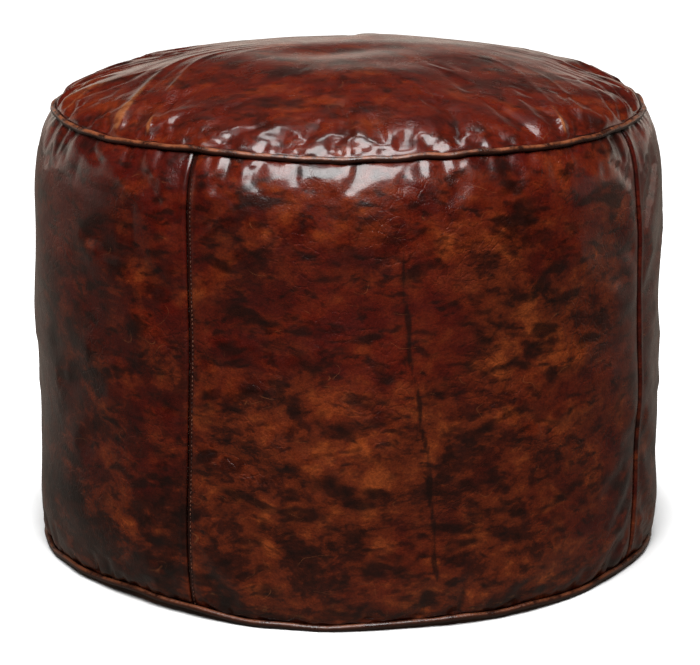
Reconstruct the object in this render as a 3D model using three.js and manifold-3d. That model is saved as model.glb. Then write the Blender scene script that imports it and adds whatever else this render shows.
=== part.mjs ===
// A drum-shaped leather pouf: four side panels, a round crown panel, two piped rings, a zipped base,
// and the calico bag, wadding and fibre drum that fill it.
// Millimetres, +Z up. The origin is the centre of the base, on the floor. The front of the pouf faces -Y.
import * as THREE from "three";
import { ConvexGeometry } from "three/addons/geometries/ConvexGeometry.js";
import { mergeVertices } from "three/addons/utils/BufferGeometryUtils.js";
import Module from "manifold-3d";

const wasm = await Module();
wasm.setup();

// ---------------------------------------------------------------- driving dimensions

// The cover
const LOWER_SEAM_RADIUS = 273; // where the base meets the side panels
const SEAM_INSET = 17; // how much closer in the crown's seam lies
const SIDE_BULGE = 5.5; // how far the filled side stands out past its lower seam at half height
const SIDE_TAPER = 3; // how much the side narrows from half height to the top
const SHOULDER_POWER = 8; // how square the shoulders of the side are
const SIDE_HEIGHT = 385; // floor to the middle of the upper piping
const CROWN_HEIGHT = 50; // upper piping to the top of the crown
const CROWN_POWER = 2.4; // how flat the middle of the crown is
const LEATHER = 1.2; // thickness of the cover hide
const ALLOWANCE = 10; // width of the leather turned in at a seam
const FIRST_SEAM_DEG = -28; // the first side seam, from the front towards +X
const SIDE_PANELS = ["front", "right", "back", "left"];

// The piping
const CORD_RADIUS = 1.5; // the filler cord
const PIPING_SKIN = 0.7; // thickness of the leather strip round the cord
const LOWER_PIPING_HEIGHT = 4; // floor to the middle of the lower piping

// The stitching
const THREAD_WIDTH = 0.9;
const THREAD_PROUD = 0.5; // how far a row of thread stands off the leather
const TOPSTITCH_FROM_SEAM = 4; // the row of stitches beside each side seam
const ZIP_STITCH_FROM_SLOT = 3; // the row of stitches beside the zip

// The zip
const ZIP_LENGTH = 370; // length of the chain with its stops, along X
const ZIP_END = 12; // tape beyond each end of the chain
const TAPE_WIDTH = 13;
const TAPE = 0.6; // thickness of the tape
const COIL_WIDTH = 2.6;
const COIL_HEIGHT = 2.2;
const CHAIN_GAP = 1.2; // between the two coils, for the slider's web
const SLOT_WIDTH = 13; // opening in the base leather, under the chain
const STOP_LENGTH = 5;
const SLIDER_LENGTH = 14;
const SLIDER_WIDTH = 10;
const SLIDER_PLATE = 1.1;
const BRIDGE_LENGTH = 7; // the slider's bridge, which carries the pull
const BRIDGE_WIDTH = 2.4;
const BRIDGE_METAL = 1; // thickness of the bridge's bar and legs
const BRIDGE_GAP = 1.8; // between the bridge's bar and the slider's plate
const PULL_LENGTH = 24;
const PULL_WIDTH = 8;
const PULL_PLATE = 1.2;
const PULL_EYE_WIDTH = 4;
const PULL_PIN = 1; // the bar across the eye's end, which turns inside the bridge
const PULL_HOLE_RADIUS = 1.6;

// The recess in the base, which keeps the zip off the floor
const RECESS_DEPTH = 7.5;
const RECESS_MARGIN = 8; // roof of the recess beyond the zip's tape
const RECESS_SPREAD = 14; // how far its walls lean out from roof to floor

// The filling
const CALICO = 0.6; // thickness of the inner bag
const BAG_HEM = 10; // depth of the hem where the bag's pieces are sewn together
const SIDE_WADDING = 14;
const CROWN_WADDING = 22;

// Clearances and facets
const GAP = 0.3; // between pieces that lie against each other
const RING_STEPS = 32;
const SIDE_STEPS = 8;
const CROWN_STEPS = 6;
const PIPING_STEPS = 6;

// ---------------------------------------------------------------- sizes that follow from those

const TOTAL_HEIGHT = SIDE_HEIGHT + CROWN_HEIGHT;
const UPPER_SEAM_RADIUS = LOWER_SEAM_RADIUS - SEAM_INSET;
const PIPING_BORE = CORD_RADIUS + GAP;
const PIPING_RADIUS = PIPING_BORE + PIPING_SKIN;
const FLANGE_DEPTH = ALLOWANCE + LEATHER; // how far the turned edges reach in from a piped seam
const LIP_HALF = GAP / 2 + PIPING_SKIN; // half the thickness of a piping's two lips
const FLANGE_FROM_PIPING = LIP_HALF + GAP; // from a piping's middle to the leather beside it
const SIDE_TOP = SIDE_HEIGHT - FLANGE_FROM_PIPING;
const SIDE_BOTTOM = LOWER_PIPING_HEIGHT + FLANGE_FROM_PIPING;
const CROWN_EDGE = SIDE_HEIGHT + FLANGE_FROM_PIPING;
const BASE_FOLD_TOP = LOWER_PIPING_HEIGHT - FLANGE_FROM_PIPING;

const TAPE_BOTTOM = RECESS_DEPTH + LEATHER + GAP;
const COIL_TOP = TAPE_BOTTOM - GAP;
const COIL_BOTTOM = COIL_TOP - COIL_HEIGHT;
const TAPE_INNER = (CHAIN_GAP + COIL_WIDTH) / 2;
const TAPE_OUTER = TAPE_INNER + TAPE_WIDTH;
const TAPE_REACH = ZIP_LENGTH / 2 + ZIP_END;
const SLOT_REACH = ZIP_LENGTH / 2 + GAP;
const CHAIN_REACH = ZIP_LENGTH / 2 - STOP_LENGTH - GAP;

const SLIDER_LOW = COIL_BOTTOM - GAP - SLIDER_PLATE;
const SLIDER_HIGH = TAPE_BOTTOM + TAPE + GAP;
const SLIDER_TOP = SLIDER_HIGH + SLIDER_PLATE;
const SLIDER_REST = CHAIN_REACH - GAP - SLIDER_LENGTH / 2; // closed, at the +X end of the chain
const BRIDGE_BAR_TOP = SLIDER_LOW - BRIDGE_GAP;
const PULL_HINGE_X = SLIDER_REST - BRIDGE_LENGTH / 2 + BRIDGE_METAL + 2 * GAP + PULL_PIN / 2;
const PULL_HINGE_Z = SLIDER_LOW - BRIDGE_GAP / 2;
const PULL_EYE_LENGTH = BRIDGE_LENGTH - BRIDGE_METAL - PULL_PIN + GAP;
// the pull hangs with its tip just off the floor
const PULL_TIP_DROP = PULL_HINGE_Z - PULL_PLATE / 2 - GAP;
const PULL_DROOP = Math.asin(PULL_TIP_DROP / (PULL_LENGTH - PULL_PIN / 2));

const BAG_DEPTH = 3 * LEATHER + 3 * GAP; // behind the side's outside, clear of its three layers at a seam
const BAG_TOP = SIDE_TOP - LEATHER - GAP;
const BAG_FOOT = SIDE_BOTTOM + LEATHER + GAP;
const BAG_CROWN_DEPTH = LEATHER + GAP;
const BAG_CROWN_REACH = UPPER_SEAM_RADIUS - FLANGE_DEPTH - GAP;
const BAG_BASE_REACH = LOWER_SEAM_RADIUS - FLANGE_DEPTH - GAP;
const BAG_BASE = LEATHER + GAP;
const BAG_RECESS = SLIDER_TOP + GAP; // underside of the inner bag, over the zip
const WADDING_DEPTH = BAG_DEPTH + CALICO + GAP;
const CROWN_WADDING_DEPTH = BAG_CROWN_DEPTH + CALICO + GAP;
const CORE_DEPTH = WADDING_DEPTH + SIDE_WADDING + GAP;
const CORE_CROWN_DEPTH = CROWN_WADDING_DEPTH + CROWN_WADDING + GAP;
const FILL_REACH = BAG_CROWN_REACH - CALICO - GAP;
const FILL_BASE = BAG_BASE + CALICO + GAP;
const FILL_RECESS = BAG_RECESS + CALICO + GAP;

// ---------------------------------------------------------------- solids

/** A three.js geometry as a manifold solid: shared vertices are merged and empty triangles left out. */
function solid(geometry) {
  const bare = geometry.clone();
  bare.deleteAttribute("normal");
  bare.deleteAttribute("uv");
  const merged = mergeVertices(bare, 1e-4);
  const index = merged.index.array;
  const kept = [];
  for (let i = 0; i < index.length; i += 3) {
    const [a, b, c] = index.slice(i, i + 3);
    if (a !== b && b !== c && c !== a) kept.push(a, b, c);
  }
  const mesh = new wasm.Mesh({
    numProp: 3,
    vertProperties: merged.attributes.position.array,
    triVerts: new Uint32Array(kept),
  });
  return new wasm.Manifold(mesh);
}

/** A manifold solid as a three.js geometry. */
function geometryOf(shape) {
  const mesh = shape.getMesh();
  const geometry = new THREE.BufferGeometry();
  geometry.setAttribute("position", new THREE.BufferAttribute(mesh.vertProperties, 3));
  geometry.setIndex(new THREE.BufferAttribute(mesh.triVerts, 1));
  geometry.computeVertexNormals();
  return geometry;
}

/** A section of [radius, height] points, turned round the Z axis. Its facets start at the front, -Y. */
function turned(section) {
  const points = section.map(([r, z]) => new THREE.Vector2(r, z));
  if (points[0].x > 0) points.push(points[0].clone());
  if (THREE.ShapeUtils.area(points) < 0) points.reverse();
  return solid(new THREE.LatheGeometry(points, RING_STEPS).rotateX(Math.PI / 2));
}

/** A level disc. */
function disc(radius, low, high) {
  return turned([[0, low], [radius, low], [radius, high], [0, high]]);
}

/** A level ring with a rectangular section. */
function ring(inner, outer, low, high) {
  return turned([[inner, low], [outer, low], [outer, high], [inner, high]]);
}

/** A box from its lowest corner to its highest. */
function box([x0, y0, z0], [x1, y1, z1]) {
  const made = new THREE.BoxGeometry(x1 - x0, y1 - y0, z1 - z0);
  return solid(made.translate((x0 + x1) / 2, (y0 + y1) / 2, (z0 + z1) / 2));
}

/** A tall wedge from the Z axis outwards, between two angles in degrees from the front. */
function wedge(from, to) {
  const reach = 2 * LOWER_SEAM_RADIUS;
  const shape = new THREE.Shape([new THREE.Vector2(0, 0)]);
  for (const degrees of spread(from, to, Math.ceil((to - from) / 30))) {
    const angle = THREE.MathUtils.degToRad(degrees - 90);
    shape.lineTo(reach * Math.cos(angle), reach * Math.sin(angle));
  }
  return solid(new THREE.ExtrudeGeometry(shape, { depth: TOTAL_HEIGHT, bevelEnabled: false }));
}

/** A row of evenly spaced values from a to b. */
function spread(a, b, steps) {
  return Array.from({ length: steps + 1 }, (_, i) => a + ((b - a) * i) / steps);
}

// ---------------------------------------------------------------- the outline of the filled pouf

/** The outside radius of the side at a height: a slight taper, with square shoulders down to the seams. */
function sideRadius(z) {
  const share = (2 * (z - SIDE_BOTTOM)) / (SIDE_TOP - SIDE_BOTTOM) - 1;
  const body = (s) => LOWER_SEAM_RADIUS + SIDE_BULGE - SIDE_TAPER * s;
  const seam = share > 0 ? UPPER_SEAM_RADIUS : LOWER_SEAM_RADIUS;
  return body(share) - (body(Math.sign(share)) - seam) * Math.abs(share) ** SHOULDER_POWER;
}

/** The outside height of the crown at a radius. */
function crownHeight(r) {
  const edge = CROWN_EDGE + LEATHER;
  return edge + (TOTAL_HEIGHT - edge) * (1 - (r / UPPER_SEAM_RADIUS) ** CROWN_POWER);
}

/** The side's outline at a depth behind its outside, from its foot up, with closer points at its ends. */
function sideLine(depth) {
  return spread(-Math.PI / 2, Math.PI / 2, SIDE_STEPS).map((a) => {
    const z = (SIDE_BOTTOM + SIDE_TOP) / 2 + ((SIDE_TOP - SIDE_BOTTOM) / 2) * Math.sin(a);
    return [sideRadius(z) - depth, z];
  });
}

/** A wall that follows the side between two depths, from low to high. */
function sideWall(outerDepth, innerDepth, low, high) {
  const whole = turned([...sideLine(outerDepth), ...sideLine(innerDepth).reverse()]);
  return whole.intersect(disc(2 * LOWER_SEAM_RADIUS, low, high));
}

/** The crown's outline at a depth under its outside, from the axis out to the seam. */
function crownLine(depth) {
  return spread(0, Math.PI / 2, CROWN_STEPS).map((a) => {
    const r = UPPER_SEAM_RADIUS * Math.sin(a);
    return [r, crownHeight(r) - depth];
  });
}

/** A domed sheet that follows the crown between two depths, out to a radius. */
function domed(outerDepth, innerDepth, reach) {
  const whole = turned([...crownLine(outerDepth), ...crownLine(innerDepth).reverse()]);
  return whole.intersect(disc(reach, 0, TOTAL_HEIGHT + 1));
}

/** Degrees round the side that a length in millimetres covers. */
function degreesFor(length) {
  return THREE.MathUtils.radToDeg(length / LOWER_SEAM_RADIUS);
}

// ---------------------------------------------------------------- the side panels

/** The angle of a side seam, in degrees from the front. Seam i starts panel i. */
function seamAngle(i) {
  return FIRST_SEAM_DEG + (360 / SIDE_PANELS.length) * i;
}

/** A flat ring of leather that runs inwards from a piped seam, with its underside at a height. */
function seamFlange(seamRadius, low) {
  return ring(seamRadius - FLANGE_DEPTH, seamRadius, low, low + LEATHER);
}

/** One panel's wall between two angles, with its edges turned in at the two piped seams. */
function panelShell(from, to) {
  const upper = seamFlange(UPPER_SEAM_RADIUS, SIDE_TOP - LEATHER);
  const lower = seamFlange(LOWER_SEAM_RADIUS, SIDE_BOTTOM);
  return sideWall(0, LEATHER, SIDE_BOTTOM, SIDE_TOP).add(upper).add(lower).intersect(wedge(from, to));
}

/** A side panel. Front and back turn their upright edges under; right and left run on beneath them. */
function sidePanel(i) {
  const from = seamAngle(i) + degreesFor(GAP) / 2;
  const to = seamAngle(i + 1) - degreesFor(GAP) / 2;
  const turnsUnder = i % 2 === 0;
  const layer = (turnsUnder ? 1 : 2) * (LEATHER + GAP);
  const width = degreesFor(ALLOWANCE) * (turnsUnder ? -1 : 1);
  const thick = degreesFor(LEATHER);
  const low = SIDE_BOTTOM + LEATHER + GAP;
  const high = SIDE_TOP - LEATHER - GAP;
  let made = panelShell(from, to);
  for (const [edge, outwards] of [[from, -1], [to, 1]]) {
    const insideEdge = edge - outwards * thick;
    const flap = [turnsUnder ? edge : insideEdge, edge + outwards * width].sort((a, b) => a - b);
    const step = [insideEdge, edge].sort((a, b) => a - b);
    made = made.add(sideWall(layer, layer + LEATHER, low, high).intersect(wedge(...flap)));
    made = made.add(sideWall(LEATHER / 2, layer + LEATHER / 2, low, high).intersect(wedge(...step)));
  }
  return made;
}

/** The row of stitches beside a side seam, on the panel whose edge is turned under. */
function sideStitching(i) {
  const onto = i % 2 === 0 ? 1 : -1;
  const middle = seamAngle(i) + onto * degreesFor(TOPSTITCH_FROM_SEAM);
  const half = degreesFor(THREAD_WIDTH) / 2;
  const clear = PIPING_RADIUS + 2 * GAP;
  const row = sideWall(-GAP - THREAD_PROUD, -GAP, LOWER_PIPING_HEIGHT + clear, SIDE_HEIGHT - clear);
  return row.intersect(wedge(middle - half, middle + half));
}

// ---------------------------------------------------------------- the crown and the piping

/** The round crown, with its edge turned in over the upper piping. */
function crownPanel() {
  return domed(0, LEATHER, UPPER_SEAM_RADIUS).add(seamFlange(UPPER_SEAM_RADIUS, CROWN_EDGE));
}

/** Points round a piping's middle, in the order of the given angles. */
function roundPiping(seamRadius, height, radius, angles) {
  const middle = seamRadius + GAP + PIPING_RADIUS;
  return angles.map((a) => [middle + radius * Math.cos(a), height + radius * Math.sin(a)]);
}

/** A piping's leather strip, wrapped round its cord with both lips lying together in the seam. */
function pipingCover(seamRadius, height) {
  const lipEnd = seamRadius - ALLOWANCE;
  const arc = (radius, half) => {
    const opening = Math.asin(half / radius);
    const angles = spread(Math.PI - opening, opening - Math.PI, PIPING_STEPS);
    return roundPiping(seamRadius, height, radius, angles);
  };
  return turned([
    [lipEnd, height + LIP_HALF],
    ...arc(PIPING_RADIUS, LIP_HALF),
    [lipEnd, height - LIP_HALF],
    [lipEnd, height - GAP / 2],
    ...arc(PIPING_BORE, GAP / 2).reverse(),
    [lipEnd, height + GAP / 2],
  ]);
}

/** The filler cord inside a piping. */
function pipingCord(seamRadius, height) {
  const corners = spread(0, 2 * Math.PI, PIPING_STEPS).slice(0, -1);
  return turned(roundPiping(seamRadius, height, CORD_RADIUS, corners));
}

// ---------------------------------------------------------------- the base and its zip

/** The space of the recess: level on top at a height, grown outwards, with walls that lean outwards. */
function recess(top, grown) {
  const below = 1; // carried this far under the floor, to cut right through
  const out = RECESS_SPREAD * (1 + below / top);
  const x = TAPE_REACH + RECESS_MARGIN + grown;
  const y = TAPE_OUTER + RECESS_MARGIN + grown;
  const corners = [];
  for (const [sx, sy] of [[-1, -1], [1, -1], [1, 1], [-1, 1]]) {
    corners.push(new THREE.Vector3(sx * x, sy * y, top));
    corners.push(new THREE.Vector3(sx * (x + out), sy * (y + out), -below));
  }
  return solid(new ConvexGeometry(corners));
}

/** A round level sheet that rises over the recess, whose roof it keeps at a height. */
function sheetOverRecess(radius, low, thickness, roof, grown) {
  const above = disc(radius, low, TOTAL_HEIGHT);
  const bump = recess(roof + thickness, grown + thickness).intersect(above);
  return disc(radius, low, low + thickness).add(bump).subtract(recess(roof, grown));
}

/** One half of the base, with its edge turned up and in at the lower seam. Side 1 is the back, -1 the front. */
function basePanel(side) {
  const edge = ring(LOWER_SEAM_RADIUS - LEATHER, LOWER_SEAM_RADIUS, LEATHER / 2, BASE_FOLD_TOP);
  const fold = seamFlange(LOWER_SEAM_RADIUS, BASE_FOLD_TOP - LEATHER);
  const top = RECESS_DEPTH + LEATHER + 1;
  const slot = box([-SLOT_REACH, -SLOT_WIDTH / 2, 0], [SLOT_REACH, SLOT_WIDTH / 2, top]);
  const half = besideZip(side, -TOTAL_HEIGHT, TOTAL_HEIGHT, GAP / 2, TOTAL_HEIGHT, -1, top);
  const whole = sheetOverRecess(LOWER_SEAM_RADIUS, 0, LEATHER, RECESS_DEPTH, 0).add(edge).add(fold);
  return whole.subtract(slot).intersect(half);
}

/** A box on one side of the zip, between two distances from it. */
function besideZip(side, x0, x1, inner, outer, low, high) {
  const [y0, y1] = side > 0 ? [inner, outer] : [-outer, -inner];
  return box([x0, y0, low], [x1, y1, high]);
}

function zipTape(side) {
  return besideZip(side, -TAPE_REACH, TAPE_REACH, TAPE_INNER, TAPE_OUTER, TAPE_BOTTOM, TAPE_BOTTOM + TAPE);
}

function zipCoil(side) {
  const inner = CHAIN_GAP / 2;
  return besideZip(side, -CHAIN_REACH, CHAIN_REACH, inner, inner + COIL_WIDTH, COIL_BOTTOM, COIL_TOP);
}

/** The stop at the end where the zip opens to, across both coils. */
function zipBottomStop() {
  const half = CHAIN_GAP / 2 + COIL_WIDTH;
  const start = -ZIP_LENGTH / 2;
  return box([start, -half, COIL_BOTTOM], [start + STOP_LENGTH, half, COIL_TOP]);
}

/** One of the two stops at the closed end, one to each coil. */
function zipTopStop(side) {
  const inner = CHAIN_GAP / 2;
  const end = ZIP_LENGTH / 2;
  return besideZip(side, end - STOP_LENGTH, end, inner, inner + COIL_WIDTH, COIL_BOTTOM, COIL_TOP);
}

function zipStitching(side) {
  const inner = SLOT_WIDTH / 2 + ZIP_STITCH_FROM_SLOT;
  const high = RECESS_DEPTH - GAP;
  return besideZip(side, -SLOT_REACH, SLOT_REACH, inner, inner + THREAD_WIDTH, high - THREAD_PROUD, high);
}

/** A plate above and one below the chain, joined by a web, with a bridge under them for the pull. */
function zipSlider() {
  const halfLength = SLIDER_LENGTH / 2;
  const halfWidth = SLIDER_WIDTH / 2;
  const halfWeb = CHAIN_GAP / 2 - GAP;
  const halfBridge = BRIDGE_LENGTH / 2;
  const overlap = SLIDER_PLATE / 2; // how far the web and the legs run into the plates
  const plate = (low, high) => box([-halfLength, -halfWidth, low], [halfLength, halfWidth, high]);
  const lower = plate(SLIDER_LOW, SLIDER_LOW + SLIDER_PLATE);
  const upper = plate(SLIDER_HIGH, SLIDER_TOP);
  const web = box([0, -halfWeb, SLIDER_LOW + overlap], [halfLength, halfWeb, SLIDER_TOP - overlap]);
  const bridge = box(
    [-halfBridge, -BRIDGE_WIDTH / 2, BRIDGE_BAR_TOP - BRIDGE_METAL],
    [halfBridge, BRIDGE_WIDTH / 2, SLIDER_LOW + overlap],
  );
  const window = box(
    [-halfBridge + BRIDGE_METAL, -BRIDGE_WIDTH, BRIDGE_BAR_TOP],
    [halfBridge - BRIDGE_METAL, BRIDGE_WIDTH, SLIDER_LOW],
  );
  return lower.add(upper).add(web).add(bridge.subtract(window));
}

/** A flat tab with a round hole. Its eye holds the bridge, and the pin at the eye's end turns in it. */
function zipPull() {
  const half = PULL_WIDTH / 2;
  const roundX = half - PULL_LENGTH;
  const eyeStart = -PULL_PIN / 2;
  const outline = new THREE.Shape();
  outline.moveTo(roundX, -half);
  outline.lineTo(-eyeStart, -half);
  outline.lineTo(-eyeStart, half);
  outline.lineTo(roundX, half);
  outline.absarc(roundX, 0, half, Math.PI / 2, (3 * Math.PI) / 2, false);
  const eye = new THREE.Path();
  eye.moveTo(eyeStart, -PULL_EYE_WIDTH / 2);
  eye.lineTo(eyeStart - PULL_EYE_LENGTH, -PULL_EYE_WIDTH / 2);
  eye.lineTo(eyeStart - PULL_EYE_LENGTH, PULL_EYE_WIDTH / 2);
  eye.lineTo(eyeStart, PULL_EYE_WIDTH / 2);
  eye.closePath();
  const hole = new THREE.Path();
  hole.absarc(roundX, 0, PULL_HOLE_RADIUS, 0, 2 * Math.PI, true);
  outline.holes.push(eye, hole);
  const plate = { depth: PULL_PLATE, bevelEnabled: false, curveSegments: 8 };
  const made = new THREE.ExtrudeGeometry(outline, plate);
  return solid(made.translate(0, 0, -PULL_PLATE / 2));
}

// ---------------------------------------------------------------- the inner bag and the filling

/** The bag's round top, with a hem that hangs inside the crown's turned edge. */
function bagCrown() {
  const rim = crownHeight(BAG_CROWN_REACH) - BAG_CROWN_DEPTH - CALICO / 2;
  const hem = ring(BAG_CROWN_REACH - CALICO, BAG_CROWN_REACH, BAG_TOP - BAG_HEM, rim);
  return domed(BAG_CROWN_DEPTH, BAG_CROWN_DEPTH + CALICO, BAG_CROWN_REACH).add(hem);
}

/** The bag's wall, turned in above and below to meet the hems of its top and base. */
function bagSide() {
  const upper = ring(BAG_CROWN_REACH + GAP, sideRadius(BAG_TOP) - BAG_DEPTH, BAG_TOP - CALICO, BAG_TOP);
  const lower = ring(BAG_BASE_REACH + GAP, sideRadius(BAG_FOOT) - BAG_DEPTH, BAG_FOOT, BAG_FOOT + CALICO);
  return sideWall(BAG_DEPTH, BAG_DEPTH + CALICO, BAG_FOOT, BAG_TOP).add(upper).add(lower);
}

/** The bag's round base, which rises over the zip, with a hem that stands inside the base's edge. */
function bagBase() {
  const hem = ring(BAG_BASE_REACH - CALICO, BAG_BASE_REACH, BAG_BASE, BAG_FOOT + BAG_HEM);
  return sheetOverRecess(BAG_BASE_REACH, BAG_BASE, CALICO, BAG_RECESS, LEATHER + GAP).add(hem);
}

/** The round pad of wadding under the crown. */
function crownWadding() {
  return domed(CROWN_WADDING_DEPTH, CROWN_WADDING_DEPTH + CROWN_WADDING, FILL_REACH);
}

/** The band of wadding inside the bag's wall, from its lower hem up to the crown's pad. */
function sideWadding() {
  const low = BAG_FOOT + BAG_HEM + GAP;
  const high = Math.min(crownHeight(FILL_REACH) - CORE_CROWN_DEPTH, BAG_TOP - BAG_HEM - GAP);
  return sideWall(WADDING_DEPTH, WADDING_DEPTH + SIDE_WADDING, low, high);
}

/** The packed fibre that fills the rest: flat below, except over the zip, and domed on top. */
function fillingCore() {
  const crown = crownLine(CORE_CROWN_DEPTH).reverse();
  const wall = sideLine(CORE_DEPTH);
  const underCrown = turned([[0, FILL_BASE], [UPPER_SEAM_RADIUS, FILL_BASE], ...crown]);
  const foot = [wall[0][0], FILL_BASE];
  const head = [wall.at(-1)[0], TOTAL_HEIGHT];
  const insideWall = turned([[0, FILL_BASE], foot, ...wall, head, [0, TOTAL_HEIGHT]]);
  return underCrown.intersect(insideWall).subtract(recess(FILL_RECESS, LEATHER + CALICO + 2 * GAP));
}

// ---------------------------------------------------------------- the assembly

const group = new THREE.Group();

/** Adds a solid to the pouf as a named mesh with a material of its own. */
function addPiece(name, shape, { color, roughness, metalness = 0 }) {
  const material = new THREE.MeshStandardMaterial({ color, roughness, metalness });
  const mesh = new THREE.Mesh(geometryOf(shape), material);
  mesh.name = name;
  group.add(mesh);
  return mesh;
}

const FINISH = {
  crownLeather: { color: 0x9a4a1f, roughness: 0.3 },
  sideLeather: { color: 0x7d3018, roughness: 0.3 },
  pipingLeather: { color: 0x4a1f14, roughness: 0.35 },
  baseLeather: { color: 0x6b3a20, roughness: 0.6 },
  thread: { color: 0x9a6a45, roughness: 0.8 },
  cord: { color: 0xd8cdb8, roughness: 0.9 },
  tape: { color: 0x4b2a1c, roughness: 0.9 },
  coil: { color: 0x3a2018, roughness: 0.4 },
  metal: { color: 0xa88a55, roughness: 0.35, metalness: 1 },
  calico: { color: 0xe4dccb, roughness: 0.95 },
  wadding: { color: 0xf0ece2, roughness: 1 },
  fibre: { color: 0xc9bfae, roughness: 1 },
};

SIDE_PANELS.forEach((panel, i) => {
  addPiece(`side_panel_${panel}`, sidePanel(i), FINISH.sideLeather);
  addPiece(`side_stitching_${i + 1}`, sideStitching(i), FINISH.thread);
});
addPiece("crown_panel", crownPanel(), FINISH.crownLeather);

const PIPINGS = [
  ["upper", UPPER_SEAM_RADIUS, SIDE_HEIGHT],
  ["lower", LOWER_SEAM_RADIUS, LOWER_PIPING_HEIGHT],
];
for (const [name, radius, height] of PIPINGS) {
  addPiece(`${name}_piping_cover`, pipingCover(radius, height), FINISH.pipingLeather);
  addPiece(`${name}_piping_cord`, pipingCord(radius, height), FINISH.cord);
}

for (const [name, side] of [["front", -1], ["back", 1]]) {
  addPiece(`base_panel_${name}`, basePanel(side), FINISH.baseLeather);
  addPiece(`zip_tape_${name}`, zipTape(side), FINISH.tape);
  addPiece(`zip_coil_${name}`, zipCoil(side), FINISH.coil);
  addPiece(`zip_top_stop_${name}`, zipTopStop(side), FINISH.metal);
  addPiece(`zip_stitching_${name}`, zipStitching(side), FINISH.thread);
}
addPiece("zip_bottom_stop", zipBottomStop(), FINISH.metal);
const slider = addPiece("zip_slider", zipSlider(), FINISH.metal);
slider.position.set(SLIDER_REST, 0, 0);
const pull = addPiece("zip_pull", zipPull(), FINISH.metal);
pull.position.set(PULL_HINGE_X, 0, PULL_HINGE_Z);
pull.rotation.set(0, -PULL_DROOP, 0);

addPiece("inner_bag_crown", bagCrown(), FINISH.calico);
addPiece("inner_bag_side", bagSide(), FINISH.calico);
addPiece("inner_bag_base", bagBase(), FINISH.calico);
addPiece("crown_wadding", crownWadding(), FINISH.wadding);
addPiece("side_wadding", sideWadding(), FINISH.wadding);
addPiece("filling_core", fillingCore(), FINISH.fibre);

export default group;
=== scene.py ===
"""Studio scene of a stuffed leather pouf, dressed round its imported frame."""

import logging
import math
from contextlib import contextmanager
from dataclasses import dataclass, field
from enum import Enum
from typing import Callable, Iterator, Sequence

import bmesh
import bpy
import numpy as np
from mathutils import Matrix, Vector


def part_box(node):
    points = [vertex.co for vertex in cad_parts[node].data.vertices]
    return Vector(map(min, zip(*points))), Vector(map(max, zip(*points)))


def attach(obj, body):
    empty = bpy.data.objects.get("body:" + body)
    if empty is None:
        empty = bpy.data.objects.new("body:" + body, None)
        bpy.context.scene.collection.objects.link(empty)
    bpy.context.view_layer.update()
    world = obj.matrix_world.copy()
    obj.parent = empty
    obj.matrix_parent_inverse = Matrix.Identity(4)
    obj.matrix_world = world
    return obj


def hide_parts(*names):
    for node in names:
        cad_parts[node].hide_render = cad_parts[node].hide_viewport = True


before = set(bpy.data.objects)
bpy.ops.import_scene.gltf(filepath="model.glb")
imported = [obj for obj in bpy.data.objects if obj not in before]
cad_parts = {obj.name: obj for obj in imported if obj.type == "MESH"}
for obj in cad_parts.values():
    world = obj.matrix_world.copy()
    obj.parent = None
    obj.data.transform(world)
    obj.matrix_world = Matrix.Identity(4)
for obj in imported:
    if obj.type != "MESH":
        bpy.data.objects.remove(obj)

LOG = logging.getLogger("pouf")
MM = 0.001
Array = np.ndarray
Colour = tuple[float, float, float]
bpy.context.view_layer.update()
QUARTER_TURN = np.pi / 2.0
FULL_TURN = 2.0 * np.pi
SAME_PLACE = 1e-6  # metres between vertices that are joined
FOLDS_BEFORE_SETTLING = 0.6  # share of the sewn folds that a sheet of hide starts with


# ---------------------------------------------------------------- small shared tools


def smooth_step(low: float, high: float, value: Array) -> Array:
    """Cubic rise from 0 at low to 1 at high: 3t^2 - 2t^3."""
    t = np.clip((value - low) / (high - low), 0.0, 1.0)
    return t * t * (3.0 - 2.0 * t)


def round_angles(count: int) -> Array:
    """Evenly spaced angles once round the pouf."""
    return np.arange(count) * 2.0 * np.pi / count


def angle_between(angle: Array, other: Array) -> Array:
    """The signed angle from one direction to another, between half a turn back and half a turn on."""
    return np.angle(np.exp(1j * (np.asarray(angle) - other)))


def ring_points(angle: Array, radius: Array, height: Array) -> Array:
    """Places points round the Z axis.

    Args:
        angle: angles in radians from the front, -Y, growing towards +X.
        radius: distances from the axis.
        height: heights above the floor.

    Returns:
        An array with x, y and z in its last axis: radius sin angle, -radius cos angle, height.
    """
    angle, radius, height = np.broadcast_arrays(angle, radius, height)
    return np.stack([radius * np.sin(angle), -radius * np.cos(angle), height], axis=-1)


def grid_faces(rows: int, columns: int, wrap_rows: bool = False, wrap_columns: bool = False) -> Array:
    """Quads of a grid whose vertex (i, j) has the number i * columns + j.

    Args:
        rows: vertices along the first parameter.
        columns: vertices along the second parameter.
        wrap_rows: joins the last row to the first.
        wrap_columns: joins the last column to the first.

    Returns:
        An array of quads, turned so that their normals follow first direction x second direction.
    """
    i = np.arange(rows if wrap_rows else rows - 1)[:, None]
    j = np.arange(columns if wrap_columns else columns - 1)[None, :]
    i, j = np.broadcast_arrays(i, j)
    i2 = (i + 1) % rows
    j2 = (j + 1) % columns
    quads = [i * columns + j, i2 * columns + j, i2 * columns + j2, i * columns + j2]
    return np.stack([q.ravel() for q in quads], axis=-1)


@contextmanager
def editing(mesh: bpy.types.Mesh) -> Iterator[bmesh.types.BMesh]:
    """Opens a mesh for editing, and writes the edits back at the end of the block.

    Args:
        mesh: the mesh.

    Returns:
        Its editable form.
    """
    work = bmesh.new()
    work.from_mesh(mesh)
    yield work
    work.to_mesh(mesh)
    work.free()


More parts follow.
